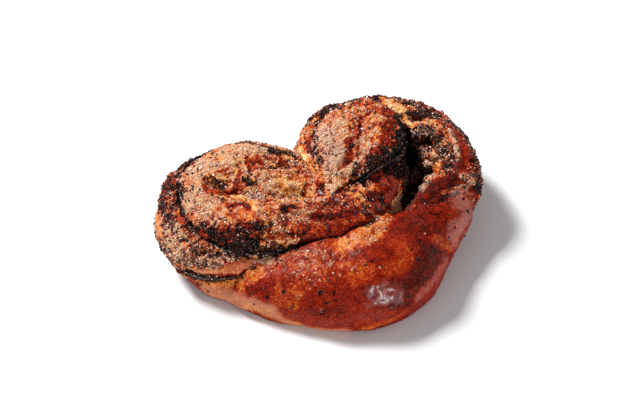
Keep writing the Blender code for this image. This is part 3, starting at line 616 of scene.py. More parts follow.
FOLDS: tuple[Fold, ...] = (
    # Creases and ridges of the folds, the loops and the tip's lip.
    Fold(((361, 118), (360.5, 126), (360, 136), (359, 148), (358.5, 158)), 0.9, -1.1),
    Fold(((361, 121), (366, 117), (371, 110)), 0.8, -0.6),
    Fold(((367, 120), (367, 134), (366, 148)), 1.5, 0.6),
    Fold(((350, 142), (350, 152), (348, 162)), 1.4, -0.5),
    Fold(((205, 179), (207, 189), (213, 192)), 0.7, -0.5),
    Fold(((218, 192), (230, 193), (242, 194)), 1.3, 0.8),
    Fold(((222, 197), (234, 198), (246, 200.5), (254, 206)), 1.1, 0.6),
    Fold(((436, 194), (448, 191), (458, 189.5), (470, 188)), 0.8, -0.7),
    Fold(((440, 196.5), (452, 193.5), (466, 191.5)), 1.1, 0.45),
    Fold(((456, 128), (461, 140), (464, 152), (464, 166)), 1.1, -0.6),
    Fold(((450, 130), (455, 142), (458, 156), (459, 168)), 1.0, 0.6),
    Fold(((176, 176), (174, 188), (174, 202), (177, 214)), 1.2, -0.6),
    Fold(((305, 150), (311, 161), (318, 171)), 1.0, 0.5),
    Fold(((206, 283), (222, 283), (238, 279.5), (252, 273)), 1.1, 0.5),
    Fold(((184, 168), (181, 180), (179.5, 192), (179.5, 204), (182, 216)), 0.7, -0.6),
    # Lumps of filling on the right loop, and the hollows between them.
    Fold(((425, 127),), 2.2, 0.9),
    Fold(((440, 130),), 2.0, 0.8),
    Fold(((440, 152),), 2.4, 1.0),
    Fold(((452, 148),), 2.0, 0.8),
    Fold(((426, 164),), 2.2, 0.8),
    Fold(((436, 170),), 2.2, 0.8),
    Fold(((412, 114),), 1.8, 0.8),
    Fold(((431, 122), (434, 128)), 1.3, -1.6),
    Fold(((418, 140), (424, 146), (432, 143), (444, 141)), 1.4, -1.8),
    Fold(((426, 158), (434, 160), (440, 158)), 1.2, -1.4),
    Fold(((420, 172), (430, 173), (440, 174)), 1.2, -1.4),
    Fold(((404, 118), (412, 120), (420, 119)), 1.2, -1.0),
    # Lumps and hollows of the left fold and of the arm.
    Fold(((212, 180),), 1.5, 0.8),
    Fold(((246, 184),), 1.2, 0.6),
    Fold(((300, 214), (318, 218), (334, 219)), 1.6, -1.0),
    Fold(((320, 228), (340, 226)), 2.0, 0.9),
    Fold(((310, 207), (326, 205), (342, 206)), 1.4, -0.8),
    Fold(((362, 192), (372, 188)), 1.6, 0.8),
    Fold(((356, 176), (366, 184), (378, 180)), 1.4, -1.0),
    Fold(((302, 186),), 1.4, 0.7),
    Fold(((316, 186), (322, 194)), 1.4, -0.7),
    # Broad swellings and hollows along the outline.
    Fold(((473, 158), (477, 176), (478, 190)), 7, 1.7),
    Fold(((472, 204), (466, 218), (456, 240)), 7, 1.1),
    Fold(((212, 293), (240, 303)), 6, 1.0),
    Fold(((258, 312), (272, 318)), 6, -0.8),
    Fold(((315, 325), (340, 326), (360, 325)), 7, 1.3),
    Fold(((425, 107), (438, 114), (448, 121)), 6, -0.9),
    Fold(((410, 101), (422, 106), (432, 111)), 5, -1.2),
    # The largest lumps, in a row along the gap, and the clefts between them.
    Fold(((417, 127),), 2.6, 2.6),
    Fold(((420, 138),), 2.6, 2.8),
    Fold(((424, 151),), 2.6, 2.8),
    Fold(((422, 164),), 2.4, 2.4),
    Fold(((417, 175),), 2.4, 2.0),
    Fold(((434, 138),), 2.0, 1.4),
    Fold(((438, 148),), 2.0, 1.2),
    Fold(((413, 119), (424, 120), (430, 126)), 1.0, -1.6),
    Fold(((412, 143), (422, 144), (430, 142)), 1.0, -1.6),
    Fold(((414, 158), (422, 158), (432, 158)), 1.0, -1.5),
    # The skin where it closes the lower end of the gap.
    Fold(((404, 205), (394, 212)), 3.4, 2.6),
    Fold(((362, 236), (376, 228), (388, 219)), 3, 1.5),
)

PINCHES: tuple[Pinch, ...] = (
    # Round the left lobe and along the front.
    Pinch(((185, 165), (178, 181), (178, 197), (184, 212), (191, 226), (202, 237)), 3.2, 4.2),
    Pinch(((202, 237), (214, 244), (226, 250), (240, 252.5)), 3.4, 3.4),
    Pinch(((240, 252.5), (254, 253.5), (270, 253), (285, 251), (300, 246.5), (311, 242), (320, 239),
           (342, 236), (362, 225), (387, 214), (397, 207)), 4.4, 5),
    Pinch(((-50.8, 25.4, 23.2), (-41.7, 36.3, 22.5), (-26.7, 38.1, 22.4), (-14.3, 34.6, 23.3)),
          3.2, 3),
    # Round the right lobe.
    Pinch(((392, 108), (399, 122), (403, 138), (399, 150), (385, 160)), 3.2, 2.0),
    Pinch(((385, 160), (368, 172), (350, 182), (338, 190), (324, 201)), 3.2, 4.4),
    Pinch(((39.9, 23.9, 35.3), (37.8, 30, 35.2), (30.2, 37.9, 33.8), (22.2, 39.6, 29.6),
           (12.4, 35.8, 26.9), (6.5, 25.2, 32)), 3.2, 3),
    # The slit at the tip, which closes at its right end.
    Pinch(((176, 269), (190, 276), (206, 280), (222, 280), (236, 276)), 3, 1.7),
    Pinch(((238, 276), (247, 271), (257, 264)), 3, 4),
)


# ---- meshes ----------------------------------------------------------------------------------


def link(name: str, mesh: bpy.types.Mesh) -> bpy.types.Object:
    """Puts a mesh into the scene.

    Args:
        name: the new object's name.
        mesh: what it shows.

    Returns:
        The object.
    """
    obj = bpy.data.objects.new(name, mesh)
    bpy.context.scene.collection.objects.link(obj)
    return obj


def merged_copy(name: str, node: str) -> bpy.types.Object:
    """A closed copy of a CAD node, its loose triangles welded together.

    Args:
        name: the copy's name.
        node: the CAD node's name.

    Returns:
        The copy, in the scene.
    """
    shape = bmesh.new()
    shape.from_mesh(frame["nodes"][node].data)
    bmesh.ops.remove_doubles(shape, verts=shape.verts, dist=0.002 * MM)
    mesh = bpy.data.meshes.new(name)
    shape.to_mesh(mesh)
    shape.free()
    for attribute in [a for a in mesh.attributes if a.name == "custom_normal"]:
        mesh.attributes.remove(attribute)
    return link(name, mesh)


def evaluated_mesh(obj: bpy.types.Object) -> bpy.types.Mesh:
    """A plain mesh of an object with its modifiers applied."""
    bpy.context.view_layer.update()
    return bpy.data.meshes.new_from_object(obj.evaluated_get(bpy.context.evaluated_depsgraph_get()))


def apply_modifiers(obj: bpy.types.Object) -> None:
    """Bakes the modifiers of an object into its mesh and removes them.

    Args:
        obj: the object, which keeps its name.
    """
    mesh = evaluated_mesh(obj)
    obj.modifiers.clear()
    obj.data = mesh
    mesh.name = obj.name


def refine(obj: bpy.types.Object, voxel: float, softening: int) -> None:
    """Remeshes an object evenly and softens its facets and rims.

    Args:
        obj: a closed object, in metres.
        voxel: the length of the new faces' sides, in millimetres.
        softening: how many times each corner moves half way towards its neighbours' middle.
    """
    remesh = obj.modifiers.new("remesh", "REMESH")
    remesh.mode = "VOXEL"
    remesh.voxel_size = voxel * MM
    soften = obj.modifiers.new("soften", "SMOOTH")
    soften.iterations = softening
    apply_modifiers(obj)


def dissolve_foot(mesh: bpy.types.Mesh) -> None:
    """Makes one face of the many small ones in the flat underside of a mesh.

    Args:
        mesh: a closed mesh that rests on the tray.
    """
    shape = bmesh.new()
    shape.from_mesh(mesh)
    flat = [corner for corner in shape.verts if corner.co.z < FOOT_HEIGHT * MM
            and all(face.normal.z < -FLAT for face in corner.link_faces)]
    bmesh.ops.dissolve_verts(shape, verts=flat)
    bmesh.ops.triangulate(shape, faces=[face for face in shape.faces if len(face.verts) > 4])
    shape.to_mesh(mesh)
    shape.free()


class Surface:
    """The corners of a mesh as arrays, in the baker's frame and in millimetres."""

    def __init__(self, mesh: bpy.types.Mesh) -> None:
        """Reads the places and normals of a mesh's corners.

        Args:
            mesh: the mesh, in metres in the part's frame.
        """
        self.mesh = mesh
        count = len(mesh.vertices)
        places = np.zeros(count * 3, np.float32)
        mesh.vertices.foreach_get("co", places)
        normals = np.zeros(count * 3, np.float32)
        mesh.vertex_normals.foreach_get("vector", normals)
        self.points = places.reshape(-1, 3).astype(float) / MM - np.array(BAKER_TO_PART)
        self.normals = normals.reshape(-1, 3).astype(float)

    def unevenness(self, size: float, number: int = 0) -> np.ndarray:
        """Smooth noise over the surface.

        Args:
            size: the width of its swellings in millimetres.
            number: which of many different noises.

        Returns:
            A number from about -1 to 1 for each corner.
        """
        moved = self.points / size + 31.7 * number
        return np.array([noise.noise(place) for place in moved])

    def pebbles(self, size: float, number: int = 0) -> np.ndarray:
        """Rounded pebbles packed over the surface.

        Args:
            size: their width in millimetres.
            number: which of many different packings.

        Returns:
            A height from 0 between the pebbles to 1 on them, for each corner.
        """
        moved = self.points / size + 17.3 * number
        near = np.array([noise.voronoi(place)[0][0] for place in moved])
        return 1 - np.clip(near * 1.4, 0, 1) ** 2

    def push(self, rise: np.ndarray) -> None:
        """Moves the corners outwards by a height in millimetres each."""
        self.move(self.normals * rise[:, None])

    def move(self, shift: np.ndarray) -> None:
        """Moves the corners, though never into the tray.

        Args:
            shift: a move in millimetres for each corner.
        """
        self.points += shift
        self.points[:, 2] = np.maximum(self.points[:, 2], 0)
        places = ((self.points + np.array(BAKER_TO_PART)) * MM).astype(np.float32)
        self.mesh.vertices.foreach_set("co", places.ravel())
        self.mesh.update()

    def paint(self, name: str, values: np.ndarray) -> None:
        """Stores a number for each corner as an attribute."""
        layer = self.mesh.attributes.new(name, "FLOAT", "POINT")
        layer.data.foreach_set("value", np.clip(values, 0, 1).astype(np.float32))


# ---- shading ---------------------------------------------------------------------------------


class Field:
    """A number that varies over a surface, as a shader socket with Python's operators."""

    def __init__(self, graph: "Graph", socket: bpy.types.NodeSocket) -> None:
        """Wraps an output socket of a node in a graph."""
        self.graph = graph
        self.socket = socket

    def _math(self, operation: str, *values: "Field | float") -> "Field":
        """A Math node's result on the values, in order."""
        inputs = {number: value for number, value in enumerate(values)}
        return self.graph.node("ShaderNodeMath", {"operation": operation}, inputs)

    def __add__(self, other: "Field | float") -> "Field":
        """self + other."""
        return self._math("ADD", self, other)

    def __sub__(self, other: "Field | float") -> "Field":
        """self - other."""
        return self._math("SUBTRACT", self, other)

    def __rsub__(self, other: float) -> "Field":
        """other - self."""
        return self._math("SUBTRACT", other, self)

    def __mul__(self, other: "Field | float") -> "Field":
        """self * other."""
        return self._math("MULTIPLY", self, other)

    __radd__ = __add__
    __rmul__ = __mul__

    def clamped(self) -> "Field":
        """Keeps the number between 0 and 1.

        Returns:
            The clamped number.
        """
        result = self._math("ADD", self, 0.0)
        result.socket.node.use_clamp = True
        return result

    def step(self, low: float, high: float) -> "Field":
        """0 below low, 1 above high and a smooth rise between them."""
        inputs = {"Value": self, "From Min": low, "From Max": high}
        return self.graph.node("ShaderNodeMapRange", {"interpolation_type": "SMOOTHSTEP"}, inputs)


class Graph:
    """The node tree of one material."""

    def __init__(self, name: str) -> None:
        """Starts a material with only its Principled shader.

        Args:
            name: the material's name.
        """
        self.material = bpy.data.materials.new(name)
        self.material.use_nodes = True
        self.tree = self.material.node_tree
        self.shader = self.tree.nodes["Principled BSDF"]
        self.coordinates = self.node("ShaderNodeTexCoord", {}, {}, "Object").socket

    def node(self, kind: str, settings: dict[str, object], inputs: dict[str | int, object],
             output: str | int = 0) -> Field:
        """Adds a node.

        Args:
            kind: the node's type.
            settings: its properties, or "stops" for a ramp's places and colours.
            inputs: values, sockets or fields for its input sockets.
            output: the socket to return.

        Returns:
            The chosen output.
        """
        node = self.tree.nodes.new(kind)
        for key, value in settings.items():
            if key == "stops":
                self._set_stops(node.color_ramp, value)
            else:
                setattr(node, key, value)
        for key, value in inputs.items():
            self.feed(node.inputs[key], value)
        return Field(self, node.outputs[output])

    def _set_stops(self, ramp: bpy.types.ColorRamp, stops: list[tuple[float, Colour]]) -> None:
        """Gives a ramp its places and colours.

        Args:
            ramp: the ramp of a Color Ramp node.
            stops: each place from 0 to 1 with its colour.
        """
        while len(ramp.elements) < len(stops):
            ramp.elements.new(1)
        for element, (place, colour) in zip(ramp.elements, stops):
            element.position = place
            element.color = (*colour, 1)

    def feed(self, socket: bpy.types.NodeSocket, value: object) -> None:
        """Links a field or a socket to an input, or sets its value.

        Args:
            socket: the input.
            value: a field, a socket, a number or a colour.
        """
        if isinstance(value, Field):
            value = value.socket
        if isinstance(value, bpy.types.NodeSocket):
            self.tree.links.new(value, socket)
        elif isinstance(value, tuple) and len(value) == 3 and socket.type == "RGBA":
            socket.default_value = (*value, 1)
        else:
            socket.default_value = value

    def attribute(self, name: str) -> Field:
        """A number painted on the mesh."""
        return self.node("ShaderNodeAttribute", {"attribute_name": name}, {}, "Fac")

    def noise(self, size: float, detail: float = 2.0, roughness: float = 0.5) -> Field:
        """Noise from 0 to 1 whose swellings are size millimetres wide."""
        return self.node("ShaderNodeTexNoise", {}, {
            "Vector": self.coordinates, "Scale": 1 / (size * MM), "Detail": detail, "Roughness": roughness})

    def cells(self, size: float, output: str = "Distance") -> Field:
        """Packed cells size millimetres wide."""
        inputs = {"Vector": self.coordinates, "Scale": 1 / (size * MM)}
        return self.node("ShaderNodeTexVoronoi", {}, inputs, output)

    def blend(self, share: Field, low: object, high: object) -> Field:
        """A colour that goes from low to high as share goes from 0 to 1."""
        inputs = {"Factor": share, 6: low, 7: high}
        return self.node("ShaderNodeMix", {"data_type": "RGBA"}, inputs, 2)

    def bump(self, height: Field, distance: float) -> None:
        """Lets a height of up to distance millimetres bend the shader's normal."""
        inputs = {"Height": height, "Distance": distance * MM}
        self.feed(self.shader.inputs["Normal"], self.node("ShaderNodeBump", {}, inputs))

    def finish(self, **inputs: object) -> bpy.types.Material:
        """Feeds the shader's inputs.

        Args:
            inputs: a value or a field for each input, named with _ for a space.

        Returns:
            The finished material.
        """
        for name, value in inputs.items():
            label = name.replace("_", " ").title().replace("Ior", "IOR")
            self.feed(self.shader.inputs[label], value)
        return self.material


@dataclass(frozen=True)
class CrustFinish:
    """Baked crust, from pale crumb to dark egg-washed skin, with baked-on sugar and poppy paste, painted
    shade in the pits, painted glints and a film that is partly painted sheen.

    Each layer is laid over the last where its paint, broken up by noise, says so.
    """

    bake_stops: tuple[tuple[float, Colour], ...] = (
        (0.0, (0.76, 0.51, 0.27)), (0.2, (0.68, 0.29, 0.08)), (0.4, (0.50, 0.12, 0.016)),
        (0.6, (0.30, 0.021, 0.003)), (0.8, (0.155, 0.006, 0.0015)), (1.0, (0.035, 0.003, 0.0015)),
    )
    sugar: Colour = (0.41, 0.212, 0.10)
    pale_sugar: Colour = (0.68, 0.50, 0.36)
    # the colour of the painted highlights on the blisters
    glint: Colour = (0.66, 0.30, 0.20)
    film: Colour = (0.44, 0.28, 0.26)
    paste: Colour = (0.005, 0.0022, 0.002)
    crumb: Colour = (0.10, 0.036, 0.018)

    def material(self) -> bpy.types.Material:
        """Builds the crust's material.

        Returns:
            The material, which reads the paints on the mesh.
        """
        graph = Graph("crust")
        bake, wash = graph.attribute(Paint.BAKE.value), graph.attribute(Paint.WASH.value)
        sugar, paste = graph.attribute(Paint.SUGAR.value), graph.attribute(Paint.PASTE.value)
        height, relief = graph.attribute(Paint.HEIGHT.value), graph.attribute(Paint.RELIEF.value)
        broad, middling, fine = graph.noise(9), graph.noise(2.6, 3), graph.noise(0.75, 2, 0.6)
        grains, blisters, speckle = graph.cells(1.0), graph.cells(0.6), graph.noise(0.42, 1)
        # Browning, and painted shade that makes the crust darker in its pits and between its grains.
        pits = (grains - 0.4) * (relief * 0.32 + 0.13) + (0.5 - height) * relief * 0.5
        browning_and_pit_shade = bake + pits + (broad - 0.5) * 0.22 + (middling - 0.5) * 0.36 + (fine - 0.5) * 0.56
        colour = graph.node("ShaderNodeValToRGB", {"stops": list(self.bake_stops)}, {0: browning_and_pit_shade}, "Color")
        # Painted highlights: small pale specks in the glint colour, standing in for light caught by
        # blisters of caramel.
        glint_spots = 0.24 - blisters + (speckle - 0.5) * 0.3 + (broad - 0.5) * 0.3 + sugar * 0.12
        painted_glints = glint_spots.step(0, 0.16) * (1.15 - bake * 0.9)
        colour = graph.blend(painted_glints * 0.5, colour, self.glint)
        # Sugar and crumbs baked on, most on the knobs.
        crystals = sugar * 1.05 - pits * 1.1 + (fine - 0.5) * 1.2 + (middling - 0.5) * 1.3 - 0.1
        dusting = graph.blend((speckle - grains * 0.25).step(0.3, 0.62), self.sugar, self.pale_sugar)
        colour = graph.blend(crystals.step(0.35, 0.95) * 0.85, colour, dusting)
        # The pale film of glaze, also painted as a pinkish-grey sheen where the gloss would reflect the
        # white surroundings.
        milky = graph.attribute(Paint.MILKY.value)
        veil = milky + (middling - 0.5) * 0.4 + (speckle - 0.5) * 0.8 - 0.2
        colour = graph.blend(veil.clamped() * 0.8, colour, self.film)
        # Poppy paste, which gathers in the pits.
        smears = paste * 0.88 + pits * 0.6 + (middling - 0.5) + (fine - 0.5) * 1.1
        smeared = smears.step(0.34, 0.7)
        dark = graph.blend((speckle - grains * 0.3).step(0.45, 0.7), self.paste, self.crumb)
        colour = graph.blend(smeared * 0.96, colour, dark)
        # Relief too fine for the mesh, and the gloss of the egg wash where no paste lies.
        knobbly = (1 - grains) * 0.55 + (1 - blisters) * 0.3 + fine * 0.35
        graph.bump(knobbly * (relief * 0.6 + 0.4) + middling * 0.3, 0.8)
        rough = 0.6 - wash * 0.25 + (fine - 0.5) * 0.3
        shine = wash * 0.06 + wash.step(0.84, 1.0) * 0.64 + (middling - 0.5) * 0.06
        return graph.finish(base_color=colour, roughness=rough.clamped(),
                            coat_weight=(shine * (1 - smeared)).clamped(),
                            coat_roughness=0.32, coat_ior=1.6, specular_ior_level=0.04,
                            specular_tint=(1.0, 0.55, 0.42))


@dataclass(frozen=True)
class PasteFinish:
    """Moist packed poppy seeds, nearly black, with paler seeds and grey glints among them."""

    seed: Colour = (0.009, 0.0046, 0.0046)
    pale_seed: Colour = (0.088, 0.044, 0.038)
    seed_width: float = 0.95

    def material(self) -> bpy.types.Material:
        """Builds the material of packed seeds.

        Returns:
            The material, in which each cell is a seed with a tone of its own.
        """
        graph = Graph("poppy_filling")
        cells, tone = graph.cells(self.seed_width), graph.cells(self.seed_width, "Color")
        pale = graph.node("ShaderNodeSeparateColor", {}, {0: tone}).step(0.45, 1.0)
        colour = graph.blend(pale, self.seed, self.pale_seed)
        graph.bump(1 - cells + graph.noise(2.2) * 0.6, 0.7)
        rough = 0.55 + (graph.noise(0.7) - 0.5) * 0.4
        return graph.finish(base_color=colour, roughness=rough.clamped(), specular_ior_level=0.3)


@dataclass(frozen=True)
class SeedFinish:
    """Single poppy seeds, blue-black to grey, each of its own shade."""

    dark: Colour = (0.007, 0.0032, 0.0032)
    grey: Colour = (0.068, 0.035, 0.034)

    def material(self) -> bpy.types.Material:
        """Builds the material of single seeds.

        Returns:
            The material. Few seeds are grey, since their shade counts by its fourth power.
        """
        graph = Graph("poppy_seed")
        shade = graph.attribute(SHADE)
        colour = graph.blend((shade * shade * shade * shade).clamped(), self.dark, self.grey)
        graph.bump(1 - graph.cells(0.18), 0.05)
        return graph.finish(base_color=colour, roughness=(0.4 + shade * 0.25).clamped(),
                            specular_ior_level=0.3)


@dataclass(frozen=True)
class SugarFinish:
    """Baked sugar grains and crumbs, from white to caramel."""

    white: Colour = (0.66, 0.45, 0.34)
    caramel: Colour = (0.36, 0.11, 0.035)

    def material(self) -> bpy.types.Material:
        """Builds the material of the sugar grains.

        Returns:
            The material, which is browner where the crust is.
        """
        graph = Graph("sugar")
        shade, bake = graph.attribute(SHADE), graph.attribute(Paint.BAKE.value)
        browning = bake * 0.9 + (shade - 0.5) * 0.9 + (graph.noise(0.9) - 0.5) * 0.4
        colour = graph.blend(browning.step(0.1, 0.9), self.white, self.caramel)
        rough = 0.28 + (graph.noise(0.5) - 0.5) * 0.3
        return graph.finish(base_color=colour, roughness=rough.clamped(), specular_ior_level=0.6)


# ---- the bun ---------------------------------------------------------------------------------


class Tracer:
    """Drops points of the camera's picture onto the bun."""

    def __init__(self, studio: "Studio") -> None:
        """Reads the CAD nodes and the camera's place.

        Args:
            studio: where the camera stands.
        """
        shape = bmesh.new()
        for node in frame["nodes"].values():
            shape.from_mesh(node.data)
        self.tree = BVHTree.FromBMesh(shape)
        shape.free()
        self.studio = studio

    def place(self, point: Place | Seen) -> Place:
        """The place on the bun under a point.

        Args:
            point: a point of the picture, or a place, which is kept.

        Returns:
            The place in the baker's frame. A point just past the outline moves towards the middle.
        """
        if len(point) == 3:
            return point
        middle = Vector(PICTURE) / 2
        for step in range(OUTLINE_TRIES):
            inwards = (Vector(point) - middle) * (1 - OUTLINE_STEP * step)
            start, sight = self.studio.sight(middle + inwards)
            touched = self.tree.ray_cast(start, sight)[0]
            if touched:
                return tuple(touched / MM - BAKER_TO_PART)
        raise ValueError(f"{point} isn't on the bun")

    def traced(self, marks: tuple[Mark, ...]) -> list[Mark]:
        """The marks with their points dropped onto the bun."""
        return [replace(mark, places=tuple(map(self.place, mark.places))) for mark in marks]


@dataclass
class Dough:
    """The risen and baked dough with its folds, creases and knobbly crust."""

    voxel: float = 0.66
    softening: int = 8
    knob_size: float = 2.7
    knob_rise: float = 0.62
    grain_size: float = 1.5
    grain_rise: float = 0.34
    swell_rise: float = 0.35
    swell_width: float = 7
    strand_blend: float = 0.7  # how softly one strand's look goes over into the next's
    smear_reach: float = 1.3
    smear_start: float = 1.2
    smear_limit: float = 0.8
    seam_clearance: float = 0.6  # no loose seed lies nearer to the filling
    bare_foot: float = 1.2  # no loose seed lies lower
    seed_overhang: float = -0.25  # z of the normals that no loose seed sticks below
    sugar_overhang: float = -0.3  # the same for the sugar
    finish: CrustFinish = field(default_factory=CrustFinish)

    def build(self, tracer: Tracer, fillings: list[bpy.types.Object]) -> bpy.types.Object:
        """Makes the dough that stands for its CAD node.

        Args:
            tracer: what drops the marks onto the bun.
            fillings: the pieces whose paste is smeared over the seams' edges.

        Returns:
            The dressed dough.
        """
        dough = merged_copy("dough_crust", "dough")
        refine(dough, self.voxel, self.softening)
        dissolve_foot(dough.data)
        surface = Surface(dough.data)
        looks = self.looks(surface, tracer.traced(STROKES))
        surface.move(sum(pinch.shift(surface.points) for pinch in tracer.traced(PINCHES)))
        looks[Paint.HEIGHT] = self.roughen(surface, looks[Paint.RELIEF], tracer.traced(FOLDS))
        self.smear(looks, surface, self.distance_to_fillings(surface, fillings))
        for paint, values in looks.items():
            surface.paint(paint.value, values)
        dough.data.shade_smooth()
        dough.data.materials.clear()
        dough.data.materials.append(self.finish.material())
        return dough

    def looks(self, surface: Surface, strokes: list[Stroke | Dots]) -> dict[Paint, np.ndarray]:
        """Works out every paint at every corner.

        Args:
            surface: the dough's corners.
            strokes: what is painted over the strands' own looks, in order.

        Returns:
            For each paint, a number for each corner.
        """
        gaps = np.array([strand.gap(surface.points) for strand in STRANDS])
        shares = np.exp(-(gaps - gaps.min(axis=0)) / self.strand_blend)
        shares /= shares.sum(axis=0)
        looks = {paint: sum(share * strand.look[paint] for share, strand in zip(shares, STRANDS))
                 for paint in STRANDS[0].look}
        # The strokes fray where the dough is uneven.
        wander = surface.unevenness(2.8, 1) + 0.7 * surface.unevenness(1.2, 2)
        for stroke in strokes:
            cover = stroke.cover(surface.points, wander)
            for paint, strength in stroke.look.items():
                looks[paint] = looks[paint] * (1 - cover) + strength * cover
        # Loose seeds lie in clumps, except on paste, and loose sugar lies in patches.
        clumps = 0.75 + 0.9 * surface.unevenness(4.5, 3) + 0.5 * surface.unevenness(1.8, 4)
        looks[Paint.SEEDS] *= np.where(looks[Paint.PASTE] > 0.8, 1, np.clip(clumps, 0, 1.3))
        patches = 0.6 + 0.9 * surface.unevenness(5, 8) + 0.6 * surface.unevenness(2, 9)
        grains = (looks[Paint.SUGAR] - 0.3) * 1.2 + looks[Paint.MILKY] * looks[Paint.RELIEF] * 0.8
        looks[Paint.GRAINS] = np.clip(grains, 0, 1) * np.clip(patches, 0, 1)
        return looks

    def roughen(self, surface: Surface, relief: np.ndarray, folds: list[Fold]) -> np.ndarray:
        """Presses in the creases and raises the crust's knobs.

        Args:
            surface: the dough's corners, which are moved.
            relief: how knobbly the crust is at each corner.
            folds: the creases and ridges.

        Returns:
            A number for each corner, from 0 in the pits to 1 on the knobs.
        """
        rise = sum(fold.relief(surface.points) for fold in folds)
        knobs = surface.pebbles(self.knob_size, 1) - 0.6 + 0.6 * surface.unevenness(self.knob_size, 5)
        grains = surface.pebbles(self.grain_size, 2) - 0.6
        swell = surface.unevenness(self.swell_width, 6) * self.swell_rise * (0.4 + 0.6 * relief)
        above_tray = np.clip(surface.points[:, 2] / 2, 0, 1)
        rise = rise + swell + relief * (self.knob_rise * knobs + self.grain_rise * grains)
        surface.push(rise * above_tray)
        return 0.5 + 0.55 * knobs + 0.45 * grains

    def smear(self, looks: dict[Paint, np.ndarray], surface: Surface, away: np.ndarray) -> None:
        """Smears paste over the seams' edges, and leaves seeds and sugar only where they can stick.

        Args:
            looks: every paint at every corner, which is changed.
            surface: the dough's corners.
            away: the distance of each corner from the fillings, in millimetres.
        """
        smeared = np.clip(self.smear_start - away / self.smear_reach, 0, self.smear_limit)
        for paint in (Paint.PASTE, Paint.SEEDS):
            looks[paint] = np.maximum(looks[paint], smeared)
        upward, height = surface.normals[:, 2], surface.points[:, 2]
        clear = (height > self.bare_foot) & (away > self.seam_clearance)
        looks[Paint.SEEDS] *= clear & (upward > self.seed_overhang)
        looks[Paint.GRAINS] *= upward > self.sugar_overhang

    def distance_to_fillings(self, surface: Surface,
                             fillings: list[bpy.types.Object]) -> np.ndarray:
        """Finds how near the fillings are, as far as their paste can be smeared.

        Args:
            surface: the dough's corners.
            fillings: the pieces in the slots.

        Returns:
            The distance of each corner in millimetres, or one past the reach of the smears.
        """
        graph = bpy.context.evaluated_depsgraph_get()
        trees = [BVHTree.FromObject(filling, graph) for filling in fillings]
        far = 2 * self.smear_reach
        nearest = np.full(len(surface.points), far)
        for number, place in enumerate((surface.points + np.array(BAKER_TO_PART)) * MM):
            for tree in trees:
                away = tree.find_nearest(place, far * MM)[3]
                if away is not None:
                    nearest[number] = min(nearest[number], away / MM)
        return nearest


@dataclass
class Filling:
    """Poppy seed filling in one seam."""

    node: str
    voxel: float = 0.5
    softening: int = 5
    lump_size: float = 2.8
    lump_rise: float = 0.7
    seed_size: float = 1.0
    seed_rise: float = 0.3
    sink: float = 0.9
    crumbs: float = 0.5
    smeared: bool = True

    def build(self, tracer: Tracer, finish: bpy.types.Material) -> bpy.types.Object:
        """Makes the filling that stands for its CAD node.

        Args:
            tracer: what drops the marks onto the bun.
            finish: the material of packed seeds.

        Returns:
            The dressed filling.
        """
        filling = merged_copy(f"{self.node}_packed", self.node)
        refine(filling, self.voxel, self.softening)
        surface = Surface(filling.data)
        upward = np.clip(surface.normals[:, 2] * 2, 0, 1)
        lumps = self.lump_rise * surface.unevenness(self.lump_size, 7)
        seeds = self.seed_rise * surface.pebbles(self.seed_size, 3)
        surface.push((lumps + seeds) * upward)
        pinches = tracer.traced(PINCHES)
        closed = np.max([pinch.closes(surface.points) for pinch in pinches], axis=0)
        surface.move(np.outer(-(self.sink + closed) * upward, (0, 0, 1)))
        surface.paint(Paint.SEEDS.value, upward)
        surface.paint(Paint.BAKE.value, np.full(len(upward), 0.5))
        surface.paint(Paint.GRAINS.value, self.crumbs * upward)
        filling.data.shade_smooth()
        filling.data.materials.clear()
        filling.data.materials.append(finish)
        return filling


